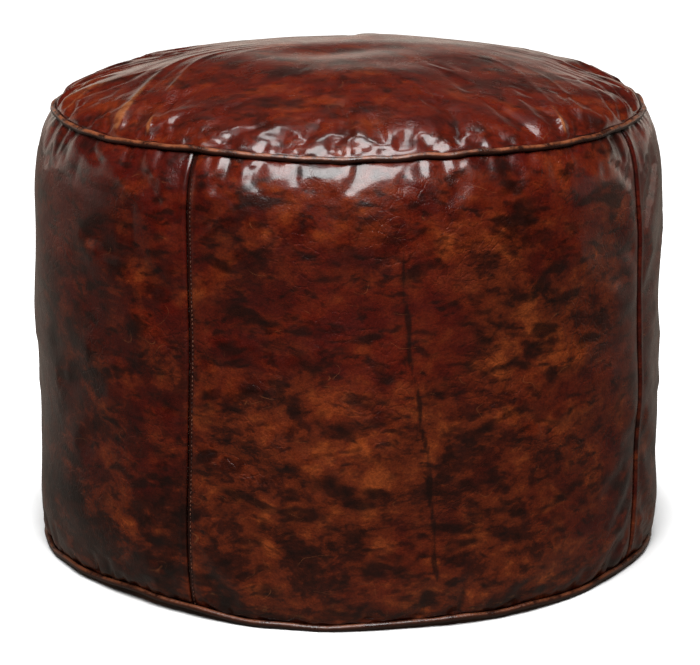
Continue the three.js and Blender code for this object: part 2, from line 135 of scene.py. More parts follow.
def make_object(name: str, points: Array, faces: Array, merge: bool = False, **attributes: Array) -> bpy.types.Object:
    """Makes a smooth-shaded mesh object.

    Args:
        name: the object's name.
        points: vertex positions in millimetres, in any grid shape with x, y, z last.
        faces: quads or triangles as vertex numbers.
        merge: joins vertices that fall together, which closes poles.
        attributes: one number for each vertex, stored under its name.

    Returns:
        The new object, linked to the scene.
    """
    mesh = bpy.data.meshes.new(name)
    flat = np.ascontiguousarray(points.reshape(-1, 3), dtype=np.float32) * MM
    size = faces.shape[1]
    mesh.vertices.add(len(flat))
    mesh.vertices.foreach_set("co", flat.ravel())
    mesh.loops.add(faces.size)
    mesh.loops.foreach_set("vertex_index", faces.astype(np.int32).ravel())
    mesh.polygons.add(len(faces))
    mesh.polygons.foreach_set("loop_start", np.arange(len(faces), dtype=np.int32) * size)
    mesh.update(calc_edges=True)
    for key, values in attributes.items():
        layer = mesh.attributes.new(key, "FLOAT", "POINT")
        layer.data.foreach_set("value", np.ascontiguousarray(values.ravel(), dtype=np.float32))
    if merge:
        with editing(mesh) as work:
            bmesh.ops.remove_doubles(work, verts=work.verts, dist=SAME_PLACE)
    mesh.validate()
    mesh.polygons.foreach_set("use_smooth", np.ones(len(mesh.polygons), dtype=bool))
    made = bpy.data.objects.new(name, mesh)
    bpy.context.scene.collection.objects.link(made)
    return made


def thicken(piece: bpy.types.Object, thickness: float) -> None:
    """Gives a sheet its thickness, on the side away from its normals.

    Args:
        piece: the sheet.
        thickness: in millimetres.
    """
    wall = piece.modifiers.new("thickness", "SOLIDIFY")
    wall.thickness = thickness * MM
    wall.offset = -1.0


@dataclass(frozen=True)
class Ripple:
    """A smooth random function of the angle round the pouf: a sum of cosines with whole counts.

    Attributes:
        seed: picks the phases and weights.
        counts: lowest and highest number of waves round the pouf.
        size: root mean square height.
    """

    seed: int
    counts: tuple[int, int]
    size: float

    def __call__(self, angle: Array) -> Array:
        """The ripple's height: cosines of whole counts times the angle, weighted and added.

        Args:
            angle: angles round the pouf.

        Returns:
            The height at each angle.
        """
        rng = np.random.default_rng(self.seed)
        counts = np.arange(self.counts[0], self.counts[1] + 1)
        phases = rng.uniform(0.0, 2.0 * np.pi, counts.size)
        weights = rng.normal(size=counts.size)
        waves = np.cos(np.asarray(angle)[..., None] * counts + phases) @ weights
        return self.size * waves / np.sqrt(0.5 * np.sum(weights**2))


@dataclass(frozen=True)
class Lumps:
    """Smooth random hills over a surface that closes on itself round the pouf: a sum of plane waves.

    Attributes:
        seed: picks the directions and phases.
        wavelength: mean distance between hills, in millimetres.
        size: root mean square height, in millimetres.
        radius: radius at which angles become distances.
        waves: how many waves are added.
    """

    seed: int
    wavelength: float
    size: float
    radius: float = 270.0
    waves: int = 20

    def draw(self) -> tuple[Array, Array, Array]:
        """Draws the waves.

        Returns:
            Each wave's rate across, rate along and phase.
        """
        rng = np.random.default_rng(self.seed)
        turn = rng.uniform(0.0, FULL_TURN, self.waves)
        rate = FULL_TURN / (self.wavelength * rng.uniform(0.7, 1.5, self.waves))
        return rate * np.cos(turn), rate * np.sin(turn), rng.uniform(0.0, FULL_TURN, self.waves)

    def add_waves(self, across: Array, along: Array, rates: tuple[Array, Array, Array]) -> Array:
        """Adds the cosines of across times its rate, plus along times its rate, plus the phase.

        Args:
            across: the first position, an angle or a distance.
            along: the second position, a distance.
            rates: each wave's two rates and phase.

        Returns:
            The height at each point.
        """
        across, along = np.broadcast_arrays(across, along)
        total = np.zeros(across.shape)
        for rate_across, rate_along, phase in zip(*rates):
            total += np.cos(rate_across * across + rate_along * along + phase)
        return self.size * total / math.sqrt(self.waves / 2.0)

    def __call__(self, angle: Array, along: Array) -> Array:
        """The height round the pouf, from waves with a whole count round it.

        Args:
            angle: angles round the pouf.
            along: distances along the surface.

        Returns:
            The height at each point.
        """
        across, up, phases = self.draw()
        return self.add_waves(angle, along, (np.round(self.radius * across), up, phases))

    def flat(self, x: Array, y: Array) -> Array:
        """The height over a flat place, in which the waves need not close on themselves."""
        return self.add_waves(x, y, self.draw())


@dataclass(frozen=True)
class Gathers:
    """Folds that start at a sewn seam and fade into the hide, as the leather is gathered into it.

    A fold is a round pillow between two sharp creases: |sin(phase)| to a power, less its mean. The
    phase is a whole count times the angle, with a slow wander, so folds drift and run together. On
    the left and right of the pouf some folds are pinched instead: thin ridges between wide hollows.

    Attributes:
        seed: picks the wander and the patches.
        layers: for each layer of folds its count round the pouf, depth and length in millimetres.
        slant: how far folds lean back as they leave the seam on the left and right.
        pinched: share of the folds there that are thin ridges.
    """

    seed: int
    layers: Sequence[tuple[int, float, float]]
    slant: float = 0.0
    pinched: float = 0.0

    def __call__(self, angle: Array, distance: Array) -> Array:
        """The height of the folds, one layer after another.

        Args:
            angle: angles round the pouf.
            distance: distances from the seam.

        Returns:
            The height at each point.
        """
        angle, distance = np.broadcast_arrays(angle, distance)
        leaned = angle - self.slant * np.sin(angle) * distance / 262.0
        total = np.zeros(angle.shape)
        for number, (count, depth, length) in enumerate(self.layers):
            seed = self.seed + 10 * number
            wander = Lumps(seed, 90.0 + 1.5 * length, 1.1)(leaned, 0.6 * distance)
            patch = Ripple(seed + 1, (2, max(6, count // 4)), 1.0)(leaned)
            strength = depth * np.clip(0.55 + 0.5 * patch, 0.05, 1.6)
            phase = 0.5 * count * leaned + wander
            pillow = np.abs(np.sin(phase)) ** 0.7 - 0.72
            pinch = 1.5 * np.abs(np.cos(phase)) ** 9.0 - 0.35
            sideways = smooth_step(0.35, 0.85, np.abs(np.sin(angle))) * self.pinched
            fold = pillow + (pinch - pillow) * sideways
            near = 1.0 - np.exp(-((distance / 4.0) ** 2))
            reach = length * (1.0 + 0.9 * sideways)
            total += strength * fold * near * np.exp(-((np.maximum(distance, 0.0) / reach) ** 1.3))
        return total


@dataclass(frozen=True)
class ClothPass:
    """Lets a sheet of hide settle as cloth that is a little too large for its sewn edges.

    The sheet is held at its seams, grown slightly and pressed outwards by the filling, so that it
    buckles into real puckers beside them. What is kept is how far each point moved, less what changes
    slowly round the pouf, so the outline stays.

    Attributes:
        growth: how much larger the sheet grows, as a share.
        pressure: of the filling.
        bending: how stiff the hide is against folding.
        frames: steps of the simulation.
        most: the largest movement that is kept, in millimetres.
        slow: number of waves round the pouf below which the movement is left out.
    """

    growth: float = 0.03
    pressure: float = 4.0
    bending: float = 1.5
    frames: int = 20
    most: float = 3.6
    slow: float = 13.0

    def settle(self, name: str, points: Array, held: Array) -> Array:
        """Simulates a sheet that closes round the pouf.

        Args:
            name: a name for the sheet.
            points: its points, with the angle first and the other direction second.
            held: True where the sheet is sewn down.

        Returns:
            How far each point moved, in millimetres.
        """
        sheet = make_object(name, points, grid_faces(*held.shape, wrap_rows=True))
        pins = sheet.vertex_groups.new(name="seams")
        pins.add(np.flatnonzero(held.ravel()).tolist(), 1.0, "REPLACE")
        cloth = sheet.modifiers.new("cloth", "CLOTH")
        settings = cloth.settings
        settings.quality = 6
        settings.mass = 0.3
        settings.tension_stiffness = 30.0
        settings.compression_stiffness = 30.0
        settings.shear_stiffness = 12.0
        settings.bending_stiffness = self.bending
        settings.air_damping = 3.0
        settings.vertex_group_mass = pins.name
        settings.use_pressure = True
        settings.uniform_pressure_force = self.pressure
        settings.shrink_min = -self.growth
        settings.effector_weights.gravity = 0.0
        cloth.point_cache.frame_start = 1
        cloth.point_cache.frame_end = self.frames
        scene = bpy.context.scene
        for step in range(1, self.frames + 1):
            scene.frame_set(step)
        settled = sheet.evaluated_get(bpy.context.evaluated_depsgraph_get()).to_mesh()
        flat = np.empty(len(settled.vertices) * 3, dtype=np.float32)
        settled.vertices.foreach_get("co", flat)
        moved = flat.reshape(points.shape) / MM - points
        bpy.data.objects.remove(sheet, do_unlink=True)
        scene.frame_set(1)
        LOG.info("%s settled, moved %.1f mm at most", name, float(np.abs(moved).max()))
        return moved

    def puckers(self, name: str, angle: Array, points: Array, held: Array) -> Array:
        """Settles a sheet, and turns its movement to face outwards, sideways and up.

        Changes slower than a number of waves round the pouf are taken out by a Fourier transform, and
        what is left is bent smoothly under the largest movement.

        Args:
            name: a name for the sheet.
            angle: angle of each point.
            points: its points.
            held: True where it is sewn down.
        """
        moved = self.settle(name, points, held)
        sine, cosine = np.sin(angle), np.cos(angle)
        outward = moved[..., 0] * sine - moved[..., 1] * cosine
        sideways = moved[..., 0] * cosine + moved[..., 1] * sine
        parts = np.stack([outward, sideways, moved[..., 2]], axis=-1)
        waves = np.fft.rfft(parts, axis=0)
        count = np.arange(waves.shape[0])[:, None, None]
        parts = np.fft.irfft(waves * (1.0 - np.exp(-((count / self.slow) ** 4))), n=len(parts), axis=0)
        return self.most * np.tanh(parts / self.most)


def sample_grid(values: Array, row: Array, column: Array) -> Array:
    """Reads a grid between its points, bilinearly, with its rows closing on themselves.

    Args:
        values: the grid, with any number of channels last.
        row: fractional row numbers.
        column: fractional column numbers.

    Returns:
        The values there.
    """
    rows, columns = values.shape[:2]
    low_row = np.floor(row).astype(int)
    low_column = np.clip(np.floor(column).astype(int), 0, columns - 2)
    u = (row - low_row)[..., None]
    v = np.clip(column - low_column, 0.0, 1.0)[..., None]
    a = values[low_row % rows, low_column] * (1.0 - v) + values[low_row % rows, low_column + 1] * v
    b = values[(low_row + 1) % rows, low_column] * (1.0 - v) + values[(low_row + 1) % rows, low_column + 1] * v
    return a * (1.0 - u) + b * u


# ---------------------------------------------------------------- material graphs


class Graph:
    """A material's node graph, with short methods for the nodes that the finishes share."""

    def __init__(self, name: str) -> None:
        """Starts a material with one Principled shader.

        Args:
            name: the material's name.
        """
        self.material = bpy.data.materials.new(name)
        self.material.use_nodes = True
        self.tree = self.material.node_tree
        self.shader = self.tree.nodes["Principled BSDF"]

    def add(self, kind: str, **settings: object) -> bpy.types.Node:
        """Adds a node.

        Args:
            kind: the node's type.
            settings: its properties.

        Returns:
            The node.
        """
        node = self.tree.nodes.new(kind)
        for key, value in settings.items():
            setattr(node, key, value)
        return node

    def put(self, socket: bpy.types.NodeSocket, value: object) -> None:
        """Links a socket to a value's output, or sets the plain value.

        Args:
            socket: the socket.
            value: an output socket or a plain value.
        """
        if isinstance(value, bpy.types.NodeSocket):
            self.tree.links.new(value, socket)
        else:
            socket.default_value = value

    def place(self) -> bpy.types.NodeSocket:
        """The position on the piece, in metres."""
        return self.add("ShaderNodeTexCoord").outputs["Object"]

    def attribute(self, name: str) -> bpy.types.NodeSocket:
        """A number that the mesh holds for each vertex."""
        return self.add("ShaderNodeAttribute", attribute_name=name).outputs["Fac"]

    def stretch(self, vector: object, scale: Colour, turn: Colour = (0.0, 0.0, 0.0)) -> bpy.types.NodeSocket:
        """Turns and stretches a position.

        Args:
            vector: the position.
            scale: a factor along each axis.
            turn: turns about the axes, in radians.

        Returns:
            The output socket.
        """
        node = self.add("ShaderNodeMapping")
        self.put(node.inputs["Vector"], vector)
        node.inputs["Rotation"].default_value = turn
        node.inputs["Scale"].default_value = scale
        return node.outputs["Vector"]

    def noise(self, vector: object, scale: float, detail: float = 3.0, rough: float = 0.5,
              colour: bool = False) -> bpy.types.NodeSocket:
        """Fractal noise over a position.

        Args:
            vector: the position.
            scale: features in a metre.
            detail: how many finer layers.
            rough: how strong they are.
            colour: True for three numbers in place of one.

        Returns:
            The output socket.
        """
        node = self.add("ShaderNodeTexNoise")
        self.put(node.inputs["Vector"], vector)
        for key, value in (("Scale", scale), ("Detail", detail), ("Roughness", rough)):
            node.inputs[key].default_value = value
        return node.outputs["Color" if colour else "Fac"]

    def cells(self, vector: object, scale: float, feature: str = "F1") -> bpy.types.NodeSocket:
        """Distance in a pattern of cells.

        Args:
            vector: the position.
            scale: cells in a metre.
            feature: which distance.

        Returns:
            The output socket.
        """
        node = self.add("ShaderNodeTexVoronoi", feature=feature)
        self.put(node.inputs["Vector"], vector)
        node.inputs["Scale"].default_value = scale
        return node.outputs["Distance"]

    def warp(self, vector: object, scale: float, reach: float) -> bpy.types.NodeSocket:
        """Pushes a position about by noise.

        Args:
            vector: the position.
            scale: features in a metre.
            reach: about twice the largest push, in metres.

        Returns:
            The output socket.
        """
        push = self.add("ShaderNodeVectorMath", operation="MULTIPLY_ADD")
        self.put(push.inputs[0], self.noise(vector, scale, 2.0, colour=True))
        push.inputs[1].default_value = (reach, reach, reach)
        self.put(push.inputs[2], vector)
        return push.outputs[0]

    def math(self, operation: str, *values: object) -> bpy.types.NodeSocket:
        """One step of arithmetic.

        Args:
            operation: its name.
            values: what it works on.

        Returns:
            The output socket.
        """
        node = self.add("ShaderNodeMath", operation=operation)
        for socket, value in zip(node.inputs, values):
            self.put(socket, value)
        return node.outputs[0]

    def remap(self, value: object, low: float, high: float, to_low: float = 0.0,
              to_high: float = 1.0) -> bpy.types.NodeSocket:
        """Smoothly maps one range onto another.

        Args:
            value: the number.
            low: start of its range.
            high: end of its range.
            to_low: what low becomes.
            to_high: what high becomes.

        Returns:
            The output socket.
        """
        node = self.add("ShaderNodeMapRange", interpolation_type="SMOOTHSTEP")
        for socket, number in zip(node.inputs, (value, low, high, to_low, to_high)):
            self.put(socket, number)
        return node.outputs[0]

    def ramp(self, value: object, stops: Sequence[tuple[float, Colour]]) -> bpy.types.NodeSocket:
        """Turns a number into a colour.

        Args:
            value: the number.
            stops: numbers with their colours, in order.

        Returns:
            The output socket.
        """
        node = self.add("ShaderNodeValToRGB")
        self.put(node.inputs[0], value)
        band = node.color_ramp
        band.interpolation = "EASE"
        while len(band.elements) < len(stops):
            band.elements.new(1.0)
        for element, (position, colour) in zip(band.elements, stops):
            element.position = position
            element.color = (*colour, 1.0)
        return node.outputs[0]

    def mix(self, factor: object, first: object, second: object, blend: str = "MIX") -> bpy.types.NodeSocket:
        """Mixes two colours.

        Args:
            factor: share of the second.
            first: the first colour.
            second: the second colour.
            blend: how they are mixed.

        Returns:
            The output socket.
        """
        node = self.add("ShaderNodeMix", data_type="RGBA", blend_type=blend)
        self.put(node.inputs[0], factor)
        for socket, value in ((node.inputs[6], first), (node.inputs[7], second)):
            self.put(socket, (*value, 1.0) if isinstance(value, tuple) else value)
        return node.outputs[2]

    def axis(self, vector: object, name: str) -> bpy.types.NodeSocket:
        """One part of a position.

        Args:
            vector: the position.
            name: X, Y or Z.

        Returns:
            The output socket.
        """
        node = self.add("ShaderNodeSeparateXYZ")
        self.put(node.inputs[0], vector)
        return node.outputs[name]

    def bump(self, height: object, distance: float, strength: float = 1.0, over: object = None) -> bpy.types.NodeSocket:
        """Raises the surface.

        Args:
            height: the pattern.
            distance: metres for a height of one.
            strength: its share, from 0 to 1.
            over: a normal that it lies over, if any.

        Returns:
            The normal.
        """
        node = self.add("ShaderNodeBump")
        node.inputs["Strength"].default_value = strength
        node.inputs["Distance"].default_value = distance
        self.put(node.inputs["Height"], height)
        if over is not None:
            self.put(node.inputs["Normal"], over)
        return node.outputs[0]

    def shade(self, **values: object) -> bpy.types.Material:
        """Sets the shader's sockets.

        Args:
            values: the values by name, with _ for a space.

        Returns:
            The material.
        """
        for key, value in values.items():
            self.put(self.shader.inputs[key.replace("_", " ")], value)
        return self.material


@dataclass(frozen=True)
class HandDyedLeather:
    """Waxed hide, dyed by hand: patches from near-black to orange-brown, brush strokes, grain and scratches.

    Attributes:
        name: the material's name.
        black: the darkest dye.
        deep: the dark dye.
        warm: the middle dye.
        light: the palest dye.
        burgundy: the redder dye that gathers towards the top.
        redness: how much of it shows.
        lift: moves the whole hide towards the paler dyes.
        strokes: how dark the brush strokes are, from 0 to 1.
        gloss: mean roughness of the wax.
    """

    name: str
    black: Colour = (0.0085, 0.0022, 0.0014)
    deep: Colour = (0.032, 0.0052, 0.0022)
    warm: Colour = (0.096, 0.0142, 0.0038)
    light: Colour = (0.225, 0.043, 0.0088)
    burgundy: Colour = (0.072, 0.0032, 0.0016)
    redness: float = 0.62
    lift: float = 0.0
    strokes: float = 0.85
    gloss: float = 0.30

    def dye(self, g: Graph, place: bpy.types.NodeSocket) -> bpy.types.NodeSocket:
        """The colour: patches and streaks, then burgundy, strokes, speckle, painted shade in the creases, and ridges
        lightened by rub wear and a painted highlight.

        Args:
            g: the graph.
            place: the position.

        Returns:
            The colour.
        """
        drift = g.warp(place, 12.0, 0.035)
        large = g.noise(drift, 8.5, 2.0, 0.5)
        middle = g.noise(g.stretch(drift, (1.0, 1.0, 1.35), (0.15, 0.3, 0.0)), 31.0, 4.0, 0.55)
        fine = g.noise(g.stretch(drift, (1.0, 1.0, 1.8), (-0.1, -0.35, 0.0)), 82.0, 5.0, 0.62)
        tone = g.math("MULTIPLY_ADD", large, 0.22, g.math("MULTIPLY", middle, 0.42))
        tone = g.math("ADD", g.math("MULTIPLY_ADD", fine, 0.22, tone), 0.093)
        # Each side panel's tone is added here; the left panel's darker tone is painted shade.
        tone = g.math("ADD", g.math("ADD", tone, self.lift), g.attribute("hide_tone"))
        stops = [(0.40, self.black), (0.475, self.deep), (0.53, self.warm), (0.64, self.light)]
        colour = g.ramp(tone, stops)
        high = g.remap(g.axis(place, "Z"), 0.08, 0.40)
        red = g.math("MULTIPLY_ADD", high, 0.22, g.noise(place, 6.5, 4.0, 0.6))
        colour = g.mix(g.remap(red, 0.50, 0.72, 0.0, self.redness), colour, self.burgundy)
        for scale, turn, low, share in ((27.0, 0.45, 0.525, 1.0), (52.0, 0.3, 0.55, 0.9), (40.0, -0.7, 0.57, 0.8)):
            swirl = g.stretch(g.warp(place, 22.0, 0.022), (1.0, 1.0, 2.2), (turn * 0.6, turn, turn))
            stain = g.remap(g.noise(swirl, scale, 2.0, 0.6), low - 0.01, low + 0.16, 0.0, self.strokes * share)
            colour = g.mix(stain, colour, self.black)
        speckle = g.remap(g.noise(place, 520.0, 2.0, 0.6), 0.3, 0.7, 0.80, 1.18)
        colour = g.mix(1.0, colour, speckle, "MULTIPLY")
        # Painted shade: where the relief is low, in creases, seam channels and turned-in edges, the colour goes towards
        # black.
        relief = g.attribute("relief")
        colour = g.mix(g.remap(relief, -0.45, -1.7, 0.0, 0.82), colour, self.black)
        # Where the relief is high, on ridges and beads, the colour goes towards tan: partly rub wear, partly a painted
        # highlight.
        rub_wear_and_ridge_highlight = g.remap(g.noise(place, 90.0, 4.0, 0.6), 0.36, 0.6, 0.30, 0.80)
        colour = g.mix(g.math("MULTIPLY", g.remap(relief, 0.9, 2.0), rub_wear_and_ridge_highlight), colour, (0.24, 0.080, 0.028))
        return self.scratch(g, place, colour)

    def scratch(self, g: Graph, place: bpy.types.NodeSocket, colour: bpy.types.NodeSocket) -> bpy.types.NodeSocket:
        """Adds hair-thin pale scratches, and tan wear where the hide rubs near the floor.

        Args:
            g: the graph.
            place: the position.
            colour: the colour so far.

        Returns:
            The colour.
        """
        for scale, number in ((17.0, 0.0), (26.0, 3.7)):
            lines = g.noise(g.stretch(place, (1.0, 1.0, 1.6), (number, number + 0.4, 0.0)), scale, 1.0, 0.4)
            hit = g.remap(g.math("ABSOLUTE", g.math("SUBTRACT", lines, 0.5)), 0.0030, 0.0012)
            few = g.remap(g.noise(g.stretch(place, (1.0, 1.0, 1.0), (0.0, number, 0.0)), 38.0, 2.0), 0.60, 0.66)
            colour = g.mix(g.math("MULTIPLY", hit, g.math("MULTIPLY", few, 0.35)), colour, (0.22, 0.075, 0.026))
        low = g.remap(g.axis(place, "Z"), 0.045, 0.008)
        worn = g.remap(g.noise(g.stretch(place, (1.0, 1.0, 2.5)), 46.0, 5.0, 0.7), 0.58, 0.70)
        return g.mix(g.math("MULTIPLY", g.math("MULTIPLY", low, worn), 0.5), colour, (0.22, 0.078, 0.026))

    def surface(self, g: Graph, place: bpy.types.NodeSocket) -> bpy.types.NodeSocket:
        """The bumps: soft dents, fine wrinkles, crackle and the pores of the grain.

        Args:
            g: the graph.
            place: the position.

        Returns:
            The normal.
        """
        pores = g.cells(g.warp(place, 300.0, 0.002), 850.0)
        dents = g.noise(g.warp(place, 20.0, 0.03), 34.0, 4.0, 0.55)
        wrinkle = g.math("ABSOLUTE", g.math("SUBTRACT", g.noise(g.warp(place, 30.0, 0.02), 95.0, 4.0, 0.6), 0.5))
        crackle = g.cells(g.warp(place, 60.0, 0.012), 120.0, "DISTANCE_TO_EDGE")
        patch = g.remap(g.noise(place, 18.0, 3.0), 0.48, 0.62)
        normal = g.bump(dents, 0.0012, 0.4)
        normal = g.bump(wrinkle, 0.0012, 0.55, normal)
        normal = g.bump(g.math("MULTIPLY", g.remap(crackle, 0.0, 0.16), patch), 0.00035, 0.6, normal)
        return g.bump(pores, 0.00024, 0.6, normal)

    def material(self) -> bpy.types.Material:
        """Builds the material.

        Returns:
            The material.
        """
        g = Graph(self.name)
        place = g.place()
        rough = g.remap(g.noise(place, 60.0, 4.0, 0.65), 0.3, 0.7, self.gloss - 0.06, self.gloss + 0.12)
        return g.shade(Base_Color=self.dye(g, place), Roughness=rough, Normal=self.surface(g, place),
                       Specular_IOR_Level=0.20, Coat_Weight=0.6, Coat_Roughness=0.16)


@dataclass(frozen=True)
class PipingLeather:
    """Dark strip leather with copper along its crest, the face turned up and out: partly wear, partly a painted
    highlight.

    Attributes:
        name: the material's name.
        dark: the dye.
        copper_wear_and_highlight: the crest's colour, partly wear and partly a painted highlight.
    """

    name: str
    dark: Colour = (0.042, 0.0105, 0.0050)
    copper_wear_and_highlight: Colour = (0.23, 0.066, 0.024)

    def material(self) -> bpy.types.Material:
        """Builds the material: copper wear and a painted highlight follow the crest, broken up by noise.

        Returns:
            The material.
        """
        g = Graph(self.name)
        place = g.place()
        crest = g.attribute("crest")
        patch = g.noise(place, 70.0, 5.0, 0.7)
        # Painted highlight and wear: the upward, outward face of the piping turns copper.
        worn = g.math("MULTIPLY", g.remap(crest, 0.5, 1.0), g.remap(patch, 0.40, 0.60))
        colour = g.mix(g.math("MULTIPLY", worn, 0.8), g.mix(patch, (0.016, 0.005, 0.003), self.dark), self.copper_wear_and_highlight)
        rough = g.remap(patch, 0.3, 0.7, 0.24, 0.42)
        bumps = g.bump(g.noise(place, 500.0, 4.0, 0.6), 0.0006, 0.7)
        return g.shade(Base_Color=colour, Roughness=rough, Normal=bumps)


@dataclass(frozen=True)
class PlainWeave:
    """Woven cloth: two sets of crossing yarns.

    Attributes:
        name: the material's name.
        yarn: colour of the yarns.
        shadow: colour between them.
        pitch: distance between yarns, in millimetres.
    """

    name: str
    yarn: Colour
    shadow: Colour
    pitch: float = 0.9

    def material(self) -> bpy.types.Material:
        """Builds the material: the product of two sine rows gives the over and under of the yarns.

        Returns:
            The material.
        """
        g = Graph(self.name)
        place = g.warp(g.place(), 60.0, 0.001)
        rate = math.pi / (self.pitch * MM)
        rows = [g.math("SINE", g.math("MULTIPLY", g.axis(place, name), rate)) for name in "XYZ"]
        cross = g.math("ADD", g.math("MULTIPLY", rows[0], rows[1]), g.math("MULTIPLY", rows[2], rows[0]))
        height = g.remap(g.math("ADD", cross, g.noise(place, 900.0, 2.0)), -1.0, 2.0)
        colour = g.mix(height, self.shadow, self.yarn)
        return g.shade(Base_Color=colour, Roughness=0.9, Normal=g.bump(height, 0.0004, 0.8), Sheen_Weight=0.2)


@dataclass(frozen=True)
class LooseFibre:
    """Carded or packed fibre: pale tufts, with the hollows between them painted darker as shade.

    Attributes:
        name: the material's name.
        light: colour of the tufts.
        dark: colour of the hollows.
        tuft: size of a tuft, in millimetres.
    """

    name: str
    light: Colour
    # dark: colour of the hollows, painted shade.
    dark: Colour
    tuft: float = 6.0

    def material(self) -> bpy.types.Material:
        """Builds the material: warped noise at the tufts' size, with hair-fine streaks over it; the same height drives
        the bump and a painted shade that darkens the low places.

        Returns:
            The material.
        """
        g = Graph(self.name)
        place = g.warp(g.place(), 90.0, 0.012)
        tufts = g.noise(place, 1000.0 / self.tuft, 6.0, 0.7)
        hairs = g.noise(g.stretch(place, (1.0, 6.0, 1.0)), 700.0, 3.0, 0.7)
        height = g.math("MULTIPLY_ADD", hairs, 0.4, tufts)
        # Painted shade: the low places of the tufts' height are coloured dark.
        colour = g.mix(g.remap(height, 0.45, 0.95), self.dark, self.light)
        return g.shade(Base_Color=colour, Roughness=1.0, Normal=g.bump(height, 0.004, 0.8), Sheen_Weight=0.3)


@dataclass(frozen=True)
class WaxedThread:
    """Twisted thread with a little wax.

    Attributes:
        name: the material's name.
        colour: the thread's colour.
        dark: its colour where dye and dirt sit.
        twist: distance between strands, in millimetres.
    """

    name: str
    colour: Colour
    dark: Colour
    twist: float = 0.5

    def material(self) -> bpy.types.Material:
        """Builds the material: slanting strands from a sine of the summed position.

        Returns:
            The material.
        """
        g = Graph(self.name)
        place = g.place()
        slant = g.math("ADD", g.math("ADD", g.axis(place, "X"), g.axis(place, "Y")), g.axis(place, "Z"))
        strand = g.math("SINE", g.math("MULTIPLY", slant, 2.0 * math.pi / (self.twist * MM)))
        dirt = g.remap(g.noise(place, 90.0, 3.0), 0.42, 0.62)
        colour = g.mix(dirt, self.dark, self.colour)
        return g.shade(Base_Color=colour, Roughness=0.6, Normal=g.bump(strand, 0.0001, 0.8))


@dataclass(frozen=True)
class AntiqueBrass:
    """Cast zip metal, dulled in patches of tarnish."""

    name: str
    bright: Colour = (0.62, 0.45, 0.22)
    dull: Colour = (0.33, 0.22, 0.105)

    def material(self) -> bpy.types.Material:
        """Builds the material: tarnish from noise, with a cast grain.

        Returns:
            The material.
        """
        g = Graph(self.name)
        place = g.place()
        tarnish = g.noise(place, 300.0, 5.0, 0.65)
        colour = g.mix(g.remap(tarnish, 0.30, 0.66), self.dull, self.bright)
        rough = g.remap(tarnish, 0.3, 0.7, 0.5, 0.25)
        return g.shade(Base_Color=colour, Metallic=1.0, Roughness=rough,
                       Normal=g.bump(g.noise(place, 1800.0, 3.0), 0.0001, 0.6))


@dataclass(frozen=True)
class MouldedNylon:
    """The zip's coil: smooth, dark and slightly scuffed."""

    name: str
    colour: Colour = (0.035, 0.015, 0.010)
    scuffed: Colour = (0.10, 0.05, 0.03)

    def material(self) -> bpy.types.Material:
        """Builds the material: scuffs from noise.

        Returns:
            The material.
        """
        g = Graph(self.name)
        place = g.place()
        scuff = g.noise(place, 220.0, 4.0, 0.6)
        colour = g.mix(g.remap(scuff, 0.5, 0.7), self.colour, self.scuffed)
        return g.shade(Base_Color=colour, Roughness=g.remap(scuff, 0.3, 0.7, 0.3, 0.5),
                       Normal=g.bump(scuff, 0.0001, 0.4))


class Finish(Enum):
    """The pouf's finishes, each with the record's material slot that it belongs to."""

    SIDE = ("side_leather", HandDyedLeather("side_leather"))
    CROWN = ("crown_leather", HandDyedLeather("crown_leather", redness=0.45, lift=0.01, strokes=0.65,
                                              light=(0.155, 0.024, 0.0042), warm=(0.072, 0.0078, 0.0020)))
    PIPING = ("piping_leather", PipingLeather("piping_leather"))
    BASE = ("base_leather", HandDyedLeather("base_leather", redness=0.1, strokes=0.4, gloss=0.45,
                                            warm=(0.10, 0.034, 0.014), light=(0.17, 0.066, 0.028)))
    THREAD = ("thread", WaxedThread("thread", (0.17, 0.055, 0.026), (0.04, 0.010, 0.006)))
    CORD = ("piping_cord", WaxedThread("piping_cord", (0.72, 0.64, 0.50), (0.45, 0.38, 0.28), 1.6))
    TAPE = ("zip_tape", PlainWeave("zip_tape", (0.10, 0.045, 0.025), (0.03, 0.013, 0.008), 0.7))
    COIL = ("zip_coil", MouldedNylon("zip_coil"))
    METAL = ("zip_metal", AntiqueBrass("zip_metal"))
    CALICO = ("calico", PlainWeave("calico", (0.78, 0.72, 0.60), (0.45, 0.40, 0.31)))
    WADDING = ("wadding", LooseFibre("wadding", (0.90, 0.88, 0.82), (0.62, 0.59, 0.53)))
    FIBRE = ("fibre", LooseFibre("fibre", (0.66, 0.60, 0.50), (0.30, 0.26, 0.20), 9.0))


class Wardrobe:
    """Makes each finish's material once, and dresses pieces in it."""

    def __init__(self) -> None:
        """Starts with no materials made."""
        self.made: dict[Finish, bpy.types.Material] = {}

    def dress(self, piece: bpy.types.Object, finish: Finish) -> None:
        """Gives a piece its material, made at its first use.

        Args:
            piece: the piece.
            finish: its finish.
        """
        if finish not in self.made:
            self.made[finish] = finish.value[1].material()
        if piece.material_slots:
            for slot in piece.material_slots:
                slot.material = self.made[finish]
        else:
            piece.data.materials.append(self.made[finish])

    def stand_in(self, piece: bpy.types.Object, node: str, finish: Finish, body: str = "cover") -> None:
        """Dresses a new piece, lets it ride on a body and hides the node that it replaces.

        Args:
            piece: the piece.
            node: the node.
            finish: the piece's finish.
            body: the body.
        """
        self.dress(piece, finish)
        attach(piece, body)
        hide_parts(node)
        LOG.info("%s: %d faces", piece.name, len(piece.data.polygons))


# ---------------------------------------------------------------- the stuffed outline


